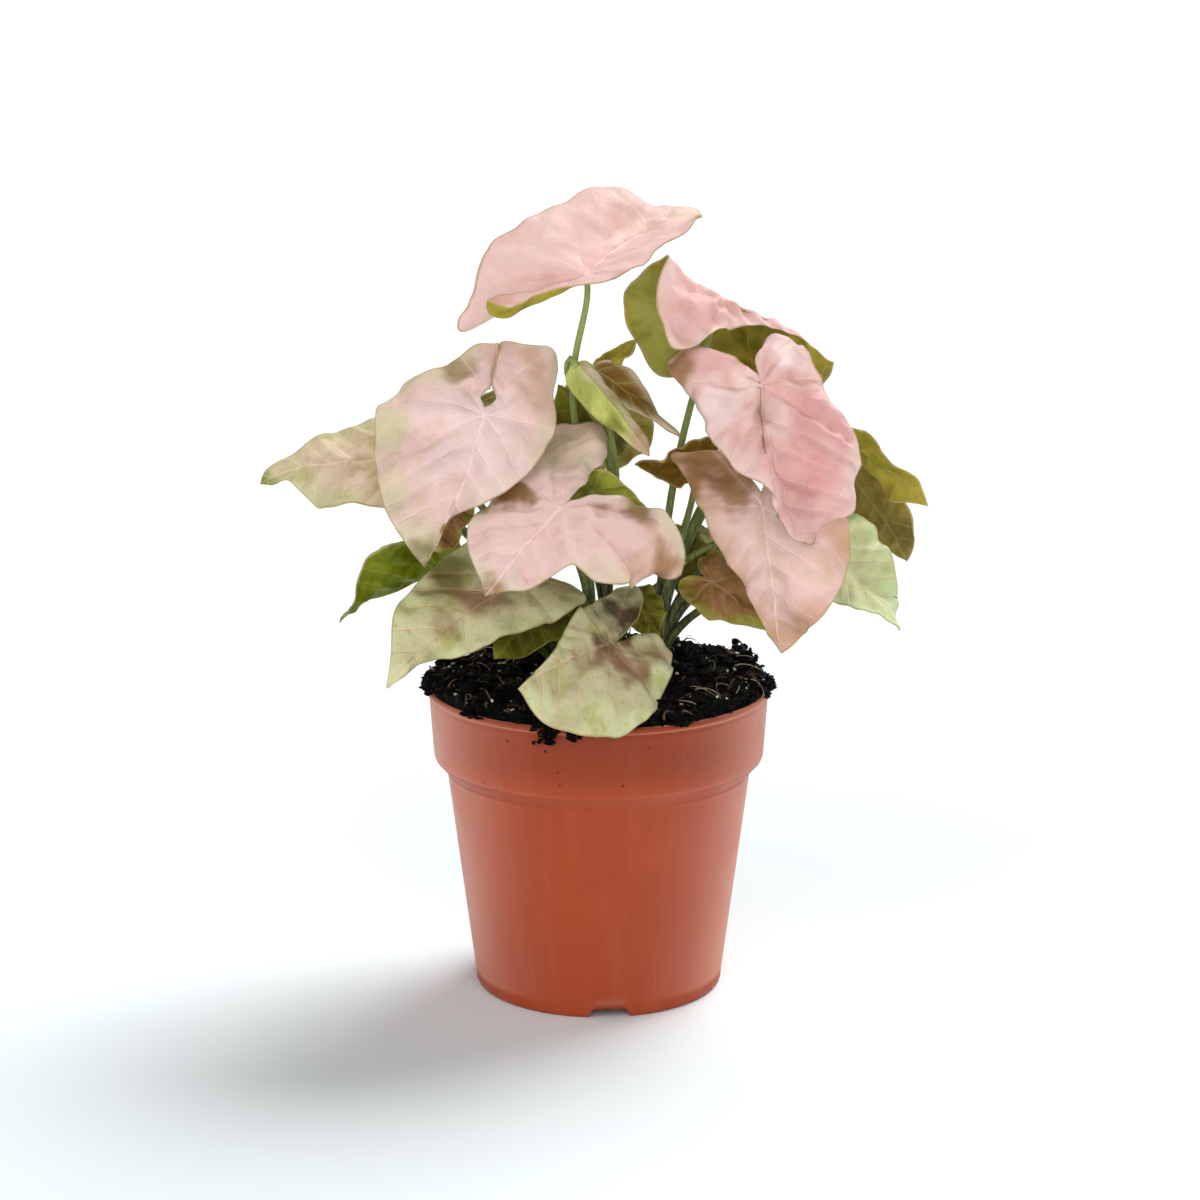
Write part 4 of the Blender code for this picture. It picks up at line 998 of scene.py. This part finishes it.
class Nodes:
    """Adds nodes to a material's or a world's tree and links them."""

    def __init__(self, tree):
        self.tree = tree

    def node(self, kind, **fields):
        """A new node of a kind, with its fields set."""
        made = self.tree.nodes.new("ShaderNode" + kind)
        for field, value in fields.items():
            setattr(made, field, value)
        return made

    def put(self, socket, value):
        """Links a socket's value, or sets a plain one."""
        if isinstance(value, bpy.types.NodeSocket):
            self.tree.links.new(value, socket)
        else:
            socket.default_value = value

    def math(self, operation, *values):
        """Result of a sum on two or three values."""
        node = self.node("Math", operation=operation)
        for socket, value in zip(node.inputs, values):
            self.put(socket, value)
        return node.outputs[0]

    def times(self, first, second):
        """Product of two values."""
        return self.math("MULTIPLY", first, second)

    def plus(self, first, second):
        """Sum of two values."""
        return self.math("ADD", first, second)

    def mix(self, share, first, second, blend="MIX"):
        """The first colour with a share of the second mixed in."""
        node = self.node("Mix", data_type="RGBA", blend_type=blend)
        self.put(node.inputs[0], share)
        for socket, value in zip((node.inputs[6], node.inputs[7]), (first, second)):
            self.put(socket, value if isinstance(value, bpy.types.NodeSocket) else (*value, 1))
        return node.outputs[2]

    def over(self, shown, mask, strength, second):
        """A colour with a second laid over it where a mask is, at a strength."""
        return self.mix(self.times(mask, strength), shown, second)

    def shade(self, shown, factors):
        """A colour multiplied by factors."""
        return self.mix(1.0, shown, factors, "MULTIPLY")

    def between(self, value, low, high, start=0.0, end=1.0, kind="SMOOTHSTEP"):
        """A value that goes from start to end as the given one goes from low to high."""
        node = self.node("MapRange", interpolation_type=kind)
        for socket, given in zip(node.inputs, (value, low, high, start, end)):
            self.put(socket, given)
        return node.outputs[0]

    def noise(self, scale, detail=3.0, roughness=0.55, vector=None):
        """Cloudy noise, by the object's own places unless others are given."""
        node = self.node("TexNoise")
        for key, value in (("Scale", scale), ("Detail", detail), ("Roughness", roughness),
                           ("Vector", vector or self.place())):
            self.put(node.inputs[key], value)
        return node.outputs["Fac"]

    def spots(self, scale, low, high, rarity, height):
        """Mask of dots. Of these, only those stay whose chance number times the height passes rarity."""
        node = self.node("TexVoronoi")
        self.put(node.inputs["Scale"], scale)
        self.put(node.inputs["Vector"], self.place())
        number = self.parts(node.outputs["Color"])[0]
        chosen = self.math("GREATER_THAN", self.times(number, height), rarity)
        return self.times(self.between(node.outputs["Distance"], low, high, 1.0, 0.0), chosen)

    def place(self):
        """Place on the object."""
        return self.node("TexCoord").outputs["Object"]

    def stretched(self, squash):
        """Place on the object with its height squashed, so that noise runs in upright streaks."""
        node = self.node("Mapping")
        node.inputs["Scale"].default_value = (1, 1, squash)
        self.put(node.inputs["Vector"], self.place())
        return node.outputs[0]

    def parts(self, vector):
        """The three parts of a vector."""
        node = self.node("SeparateXYZ")
        self.put(node.inputs[0], vector)
        return node.outputs

    def uv(self, name):
        """Both values of a UV map."""
        return self.parts(self.node("UVMap", uv_map=name).outputs[0])[:2]

    def attribute(self, name):
        """Colour, alpha and plain value of a mesh attribute."""
        node = self.node("Attribute", attribute_name=name)
        return node.outputs["Color"], node.outputs["Alpha"], node.outputs["Fac"]


class Finish(Nodes):
    """A new material, with its shader."""

    def __init__(self, name, roughness):
        self.material = bpy.data.materials.new(name)
        self.material.use_nodes = True
        super().__init__(self.material.node_tree)
        self.shader = self.tree.nodes["Principled BSDF"]
        self.set("Roughness", roughness)

    def set(self, key, value):
        """Links or sets one of the shader's inputs."""
        self.put(self.shader.inputs[key], value)

    def glow(self, share, radius):
        """Light that passes through the surface, as far as the radius for red, green and blue."""
        self.set("Subsurface Weight", share)
        self.set("Subsurface Radius", radius)
        self.set("Subsurface Scale", 0.5)

    def bump(self, height, distance, strength=0.5):
        """Fine relief from a height."""
        node = self.node("Bump")
        for key, value in (("Strength", strength), ("Distance", distance), ("Height", height)):
            self.put(node.inputs[key], value)
        self.set("Normal", node.outputs[0])


def vein_lines(nodes, settings):
    """How far off its side vein a point is, and masks of the fine vein line and of the midrib."""
    number, spacing = nodes.uv("veins")
    across, along = nodes.uv("blade")
    whole = nodes.math("ROUND", number)
    off = nodes.times(nodes.math("ABSOLUTE", nodes.math("SUBTRACT", number, whole)), spacing)
    line = nodes.between(off, 0.12, settings.vein_width / MM, 1.0, 0.0)
    width = nodes.math("MAXIMUM", nodes.math("MULTIPLY_ADD", along, -0.009, 0.9), 0.35)
    inside = nodes.math("DIVIDE", nodes.math("ABSOLUTE", across), width)
    rib = nodes.times(nodes.between(inside, 0.35, 1.0, 1.0, 0.0), nodes.between(along, -1.5, 0.5))
    return off, line, rib


def make_upper(settings):
    """Upper face: the painted tints, mottled, with pale veins, a thin tan rim and a soft grain."""
    nodes = Finish("leaf_upper", 0.5)
    shown, mottle, _ = nodes.attribute("tint")
    vein_tint, strength, _ = nodes.attribute("vein_tint")
    off, line, rib = vein_lines(nodes, settings)
    line = nodes.times(line, strength)
    halo = nodes.times(nodes.between(off, 0.2, 2.2, 1.0, 0.0), strength)
    broad = nodes.between(nodes.noise(95, 3), 0.50, 0.72)
    fleck = nodes.between(nodes.noise(420, 4, 0.65), 0.54, 0.74)
    green = nodes.shade(shown, plain(218, 224, 170))
    dusky = nodes.shade(shown, plain(226, 202, 176))
    shown = nodes.mix(nodes.times(broad, nodes.times(mottle, 0.9)), shown, green)
    shown = nodes.mix(nodes.times(fleck, nodes.times(mottle, 0.8)), shown, dusky)
    lit = nodes.mix(0.45, nodes.shade(shown, (1.35, 1.32, 1.32)), vein_tint)
    for mask, share in ((halo, 0.24), (line, 0.62), (rib, 0.8)):
        shown = nodes.over(shown, mask, share, lit)
    inward = nodes.attribute("inward")[2]
    shown = nodes.over(shown, nodes.between(inward, 0.15, 0.75, 1.0, 0.0), 0.65, colour(176, 150, 96))
    nodes.set("Base Color", shown)
    nodes.glow(settings.glow, (0.004, 0.0028, 0.0018))
    nodes.set("Specular IOR Level", 0.2)
    veins = nodes.times(nodes.math("MAXIMUM", line, rib), -0.2)
    folds = nodes.times(nodes.noise(75, 1, 0.4), 4.0)
    pucker = nodes.times(nodes.noise(230, 1), 0.7)
    grain = nodes.times(nodes.noise(1500, 3), 0.25)
    nodes.bump(nodes.plus(nodes.plus(veins, folds), nodes.plus(pucker, grain)), 0.0012, 0.8)


def make_under(settings):
    """Underside: the painted tints, clouded, with pale raised veins and a thin tan rim."""
    nodes = Finish("leaf_under", 0.55)
    shown = nodes.attribute("tint")[0]
    _, line, rib = vein_lines(nodes, settings)
    deep = nodes.shade(shown, plain(214, 216, 190))
    light = nodes.mix(0.4, shown, colour(206, 200, 120))
    veins = nodes.math("MAXIMUM", line, rib)
    shown = nodes.mix(nodes.between(nodes.noise(120, 3), 0.4, 0.7), shown, deep)
    shown = nodes.over(shown, veins, 0.3, light)
    shown = nodes.over(shown, nodes.between(nodes.noise(500, 3), 0.5, 0.8), 0.25, light)
    inward = nodes.attribute("inward")[2]
    shown = nodes.over(shown, nodes.between(inward, 0.2, 0.9, 1.0, 0.0), 0.6, colour(214, 186, 140))
    nodes.set("Base Color", shown)
    nodes.glow(settings.glow, (0.003, 0.003, 0.001))
    nodes.set("Specular IOR Level", 0.15)
    nodes.bump(nodes.plus(nodes.times(veins, 0.6), nodes.noise(900, 3)), 0.0005, 0.5)


def make_stalk():
    """Green stalk: darker towards the foot, with fine upright streaks and darker blotches."""
    nodes = Finish("stalk", 0.42)
    height = nodes.parts(nodes.place())[2]
    low = nodes.between(height, SOIL_TOP + 0.02, SOIL_TOP + 0.1)
    shown = nodes.mix(low, colour(58, 66, 26), colour(142, 158, 72))
    upright = nodes.stretched(0.08)
    streak = nodes.between(nodes.noise(1400, 2, 0.5, upright), 0.4, 0.65)
    shown = nodes.over(shown, streak, 0.35, colour(176, 184, 110))
    blotch = nodes.between(nodes.noise(130, 3), 0.5, 0.72)
    nodes.set("Base Color", nodes.over(shown, blotch, 0.35, colour(92, 96, 40)))
    nodes.bump(nodes.noise(1200, 2, 0.5, upright), 0.0004, 0.4)


def make_soil():
    """Near-black damp peat with brown crumbs and glints."""
    nodes = Finish("soil", 0.75)
    nodes.set("Specular IOR Level", 0.12)
    brown = nodes.between(nodes.noise(420, 5, 0.7), 0.52, 0.78)
    shown = nodes.mix(brown, colour(5, 4, 3), colour(36, 24, 16))
    crumb = nodes.between(nodes.noise(1600, 3, 0.7), 0.62, 0.82)
    nodes.set("Base Color", nodes.mix(crumb, shown, colour(120, 92, 64)))
    nodes.set("Roughness", nodes.between(nodes.noise(800, 3), 0.4, 0.6, 0.45, 0.9))
    nodes.bump(nodes.noise(900, 6, 0.75), 0.0016, 0.9)


def make_plain(name, tints, roughness, scale):
    """A small part's finish: two tints in a fine noise, with a grain."""
    nodes = Finish(name, roughness)
    first, second = (colour(*value) for value in tints)
    nodes.set("Base Color", nodes.mix(nodes.between(nodes.noise(scale, 4), 0.4, 0.65), first, second))
    nodes.bump(nodes.noise(scale * 3, 3), 0.0005, 0.5)


def painted_sheen_mask(nodes, height):
    """Mask of the painted sheen on the pot's wall: faint on the ledge under the band, and nothing at the
    very foot.
    """
    below = nodes.between(height, 78.6 * MM, 79.2 * MM, 1.0, 0.0)
    above = nodes.between(height, 84.2 * MM, 84.9 * MM)
    off_ledge = nodes.math("MULTIPLY_ADD", nodes.math("MAXIMUM", below, above), 0.88, 0.12)
    return nodes.times(off_ledge, nodes.between(height, 3.6 * MM, 6 * MM))


def make_pot(settings):
    """Terracotta-orange plastic: cloudy tone, faint streaks down the wall, specks of peat, satin gloss.

    Painted shade darkens the band, for the leaves' shadow; a painted sheen makes the wall paler where it
    turns away from the viewer.
    """
    base, rough = tuple(settings.pot_colour), settings.pot_roughness
    nodes = Finish("terracotta_plastic", rough)
    cloud = nodes.between(nodes.noise(26, 4), 0.35, 0.7)
    shown = nodes.over(base, cloud, 0.6, np.array(base) * (0.88, 0.82, 0.78))
    streak = nodes.between(nodes.noise(160, 3, 0.6, nodes.stretched(0.07)), 0.45, 0.7)
    shown = nodes.over(shown, streak, 0.1, colour(202, 116, 88))
    height = nodes.parts(nodes.place())[2]
    high = nodes.between(height, 0.03, 0.11, 0.25, 1.0)
    speck = nodes.math("MAXIMUM", nodes.spots(230, 0.10, 0.18, 0.76, high),
                       nodes.spots(430, 0.09, 0.15, 0.86, high))
    shown = nodes.over(shown, speck, 0.85, colour(50, 24, 14))
    # Painted shade: the band is darkened all round, standing for the shadow of the leaves above.
    band = nodes.times(nodes.between(height, 84 * MM, 96 * MM), 0.8)
    shown = nodes.mix(band, shown, nodes.shade(shown, (0.66, 0.64, 0.6)))
    # Painted sheen: the wall is lightened where it turns away from the viewer, standing for the bright
    # surroundings reflected at a glancing angle.
    turned = nodes.node("LayerWeight")
    turned.inputs["Blend"].default_value = 0.5
    away = nodes.times(nodes.between(turned.outputs["Facing"], 0.08, 0.8), painted_sheen_mask(nodes, height))
    nodes.set("Base Color", nodes.over(shown, away, 0.8, colour(216, 140, 118)))
    nodes.set("Specular IOR Level", 0.2)
    nodes.set("Roughness", nodes.between(nodes.noise(60, 3), 0.3, 0.7, rough - 0.06, rough + 0.08))
    nodes.bump(nodes.plus(nodes.times(speck, 1.5), nodes.noise(900, 3)), 0.00018, 0.35)


# Small finishes: two tints, roughness and the scale of the noise that mixes them
PLAIN_FINISHES = {
    "fibre": (((62, 42, 27), (118, 88, 58)), 0.8, 500),
    "root": (((196, 170, 132), (228, 210, 178)), 0.6, 700),
    "perlite": (((206, 200, 186), (240, 238, 230)), 0.8, 900),
}


# Settings

def plain_setting(name, description, default, **limits):
    """A setting that is a plain number."""
    return bpy.props.FloatProperty(name=name, description=description, default=default, **limits)


def length_setting(name, description, default, low, high):
    """A setting that is a length, given in millimetres."""
    return plain_setting(name, description, default * MM, min=low * MM, max=high * MM, unit="LENGTH")


def whole_setting(name, description, default, low, high):
    """A setting that is a whole number."""
    return bpy.props.IntProperty(name=name, description=description, default=default, min=low, max=high)


class LeafSettings(bpy.types.PropertyGroup):
    """Sizes of the leaves and their stalks."""

    thickness: length_setting("Blade thickness", "Thickness of a blade between its veins", 0.5, 0.2, 1.5)
    wave: length_setting("Margin wave", "Height of the waves along a blade's margin", 1.5, 0, 3)
    slack: plain_setting("Margin roll", "Angle by which a margin rolls up or down here and there",
                         math.radians(38), min=0, max=math.radians(90), subtype="ANGLE")
    vein_width: length_setting("Vein width", "Half the width of a side vein's pale line", 0.42, 0.1, 2)
    glow: plain_setting("Glow", "Share of light that passes through the blade", 0.18, min=0, max=1,
                        subtype="FACTOR")
    stalk_foot: length_setting("Stalk foot radius", "Radius of a stalk at the soil", 1.75, 0.5, 4)
    stalk_top: length_setting("Stalk top radius", "Radius of a stalk under its blade", 1.05, 0.3, 3)


class PotSettings(bpy.types.PropertyGroup):
    """Finish of the pot."""

    pot_steps: whole_setting("Steps", "Faces round the pot", 240, 48, 720)
    pot_colour: bpy.props.FloatVectorProperty(name="Colour", description="Colour of the pot's plastic",
                                              default=tuple(colour(172, 72, 38)), size=3, min=0, max=1,
                                              subtype="COLOR")
    pot_roughness: plain_setting("Roughness", "Roughness of the pot's plastic", 0.42, min=0, max=1,
                                 subtype="FACTOR")


class SoilSettings(bpy.types.PropertyGroup):
    """Form of the soil."""

    rise: length_setting("Heap height", "Height of the heap over the pot's rim", 5, 0, 20)
    crumbs: whole_setting("Crumbs", "Number of peat crumbs", 1500, 0, 4000)
    fibres: whole_setting("Fibres", "Number of thin fibres", 400, 0, 2000)


class StageSettings(bpy.types.PropertyGroup):
    """Camera, floor and light."""

    distance: plain_setting("Camera distance", "Distance of the camera from the pot's axis", 1.064,
                            unit="LENGTH")
    height: plain_setting("Camera height", "Height of the camera over the floor", 0.393, unit="LENGTH")
    pitch: plain_setting("Camera pitch", "Angle by which the camera looks down", 0.233, unit="ROTATION")
    lens: plain_setting("Lens", "Focal length of the camera in millimetres", 92.52)
    sky: plain_setting("Sky light", "Brightness of the light from all round", 0.45, min=0)
    back_sun: plain_setting("Back sun", "Strength of the soft sun behind on the right", 2.95, min=0)
    front_sun: plain_setting("Front sun", "Strength of the softer sun in front on the left", 2.5, min=0)


# Operators

class ARROWHEAD_OT_materials(bpy.types.Operator):
    """Makes the finishes of the leaves, stalks, soil and pot"""

    bl_idname = "arrowhead.materials"
    bl_label = "Make finishes"

    def execute(self, context):
        scene = context.scene
        make_upper(scene.arrowhead_leaf)
        make_under(scene.arrowhead_leaf)
        make_stalk()
        make_soil()
        make_pot(scene.arrowhead_pot)
        for name, fields in PLAIN_FINISHES.items():
            make_plain(name, *fields)
        return {"FINISHED"}


class ARROWHEAD_OT_leaves(bpy.types.Operator):
    """Builds every leaf blade with its veins and waved margin"""

    bl_idname = "arrowhead.leaves"
    bl_label = "Build leaves"

    def execute(self, context):
        for name, fields in BLADES.items():
            build_blade(name, {**USUAL, **fields}, context.scene.arrowhead_leaf)
        return {"FINISHED"}


class ARROWHEAD_OT_stalks(bpy.types.Operator):
    """Builds the crowns of stalks that carry the leaves"""

    bl_idname = "arrowhead.stalks"
    bl_label = "Build stalks"

    def execute(self, context):
        for name in CROWNS:
            build_crown(name, context.scene.arrowhead_leaf)
        return {"FINISHED"}


class ARROWHEAD_OT_soil(bpy.types.Operator):
    """Builds the heap of peat with its crumbs, fibres, roots and white grains"""

    bl_idname = "arrowhead.soil"
    bl_label = "Build soil"

    def execute(self, context):
        settings = context.scene.arrowhead_soil
        random = np.random.default_rng(7)
        dress("soil_heap", soil_surface(settings), "soil", "soil")
        for name, kind in LOOSE.items():
            strew(random, name, kind, settings)
        return {"FINISHED"}


class ARROWHEAD_OT_pot(bpy.types.Operator):
    """Builds the nursery pot with its rim band, lip and notched foot"""

    bl_idname = "arrowhead.pot"
    bl_label = "Build pot"

    def execute(self, context):
        shell = pot_shell(context.scene.arrowhead_pot)
        dress("pot_fine", shell, "terracotta_plastic", "pot")
        return {"FINISHED"}


def soft_sun(name, toward, spread, power):
    """A distant soft light that shines along a direction from all over a spread of degrees."""
    light = bpy.data.lights.new(name, "SUN")
    light.energy = power
    light.angle = math.radians(spread)
    made = bpy.data.objects.new(name, light)
    flat = math.hypot(toward[0], toward[1])
    made.rotation_euler = (math.atan2(flat, -toward[2]), 0, math.atan2(toward[1], toward[0]) - math.pi / 2)
    bpy.context.scene.collection.objects.link(made)


# Shares of the sky's light that come from the front and from overhead
SKY_FRONT = 0.65
SKY_TOP = 0.5


def light_sky(world, strength):
    """Light from all round: brightest low down at the back and sides, less in front and less overhead."""
    nodes = Nodes(world.node_tree)
    background = nodes.tree.nodes["Background"]
    background.inputs["Color"].default_value = (1.0, 1.0, 1.0, 1)
    _, toward_back, up = nodes.parts(nodes.node("TexCoord").outputs["Generated"])
    front = nodes.between(toward_back, -0.9, 0.2, SKY_FRONT, 1.0, "LINEAR")
    top = nodes.between(up, 0.05, 0.8, 1.0, SKY_TOP, "LINEAR")
    nodes.put(background.inputs["Strength"], nodes.times(top, nodes.times(front, strength)))


SENSOR_WIDTH = 36
CAMERA_SHIFT = 0.0011


def set_camera(scene, settings):
    """A camera in front of the pot that looks a little down."""
    camera = bpy.data.objects.new("camera", bpy.data.cameras.new("camera"))
    camera.location = (0, -settings.distance, settings.height)
    camera.rotation_euler = (math.pi / 2 - settings.pitch, 0, 0)
    camera.data.lens = settings.lens
    camera.data.sensor_width = SENSOR_WIDTH
    camera.data.shift_x = CAMERA_SHIFT
    scene.collection.objects.link(camera)
    scene.camera = camera


# Half the floor's width, in metres, and the two pale tints that are mixed on it
FLOOR_HALF = 14.0
FLOOR_TINTS = ((0.855, 0.925, 0.94), (0.885, 0.955, 0.97))


def lay_floor():
    """A wide pale floor."""
    corners = np.array([(-1, -1, 0), (1, -1, 0), (1, 1, 0), (-1, 1, 0)]) * FLOOR_HALF
    floor = make_mesh("floor", corners, [np.array([[0, 1, 2, 3]])], smooth=False)
    nodes = Finish("floor", 0.9)
    nodes.set("Base Color", nodes.mix(nodes.noise(3, 2), *FLOOR_TINTS))
    nodes.set("Specular IOR Level", 0.1)
    floor.data.materials.append(nodes.material)


# Suns: the way each shines, and over how many degrees of sky its light is spread
BACK_SUN = ((-0.5, -0.58, -0.85), 40)
FRONT_SUN = ((0.2, 0.9, -0.2), 100)


class ARROWHEAD_OT_stage(bpy.types.Operator):
    """Sets the camera, the pale floor and the soft light"""

    bl_idname = "arrowhead.stage"
    bl_label = "Set stage"

    def execute(self, context):
        scene = context.scene
        settings = scene.arrowhead_stage
        set_camera(scene, settings)
        lay_floor()
        world = bpy.data.worlds.new("studio")
        world.use_nodes = True
        light_sky(world, settings.sky)
        scene.world = world
        soft_sun("back sun", *BACK_SUN, settings.back_sun)
        soft_sun("front sun", *FRONT_SUN, settings.front_sun)
        scene.view_settings.view_transform = "Standard"
        return {"FINISHED"}


class ARROWHEAD_PT_panel(bpy.types.Panel):
    """Lists the plant's settings and its builders"""

    bl_idname = "ARROWHEAD_PT_panel"
    bl_label = "Arrowhead plant"
    bl_space_type = "VIEW_3D"
    bl_region_type = "UI"
    bl_category = "Arrowhead"

    def draw(self, context):
        scene = context.scene
        for name in GROUPS:
            group = getattr(scene, name)
            box = self.layout.box()
            for key in group.__annotations__:
                box.prop(group, key)
        for operator in OPERATORS:
            self.layout.operator(operator.bl_idname)


GROUPS = {"arrowhead_leaf": LeafSettings, "arrowhead_soil": SoilSettings, "arrowhead_pot": PotSettings,
          "arrowhead_stage": StageSettings}
OPERATORS = (ARROWHEAD_OT_stage, ARROWHEAD_OT_materials, ARROWHEAD_OT_pot, ARROWHEAD_OT_soil,
             ARROWHEAD_OT_stalks, ARROWHEAD_OT_leaves)


def register():
    """Makes the settings, operators and panel known."""
    for group in GROUPS.values():
        bpy.utils.register_class(group)
    for name, group in GROUPS.items():
        setattr(bpy.types.Scene, name, bpy.props.PointerProperty(type=group))
    for operator in OPERATORS:
        bpy.utils.register_class(operator)
    bpy.utils.register_class(ARROWHEAD_PT_panel)


def unregister():
    """Removes the settings, operators and panel."""
    bpy.utils.unregister_class(ARROWHEAD_PT_panel)
    for operator in reversed(OPERATORS):
        bpy.utils.unregister_class(operator)
    for name, group in GROUPS.items():
        delattr(bpy.types.Scene, name)
        bpy.utils.unregister_class(group)


def main():
    """Builds the whole scene."""
    register()
    bpy.ops.arrowhead.stage()
    bpy.ops.arrowhead.materials()
    bpy.ops.arrowhead.pot()
    bpy.ops.arrowhead.soil()
    bpy.ops.arrowhead.stalks()
    bpy.ops.arrowhead.leaves()


if __name__ == "__main__":
    main()
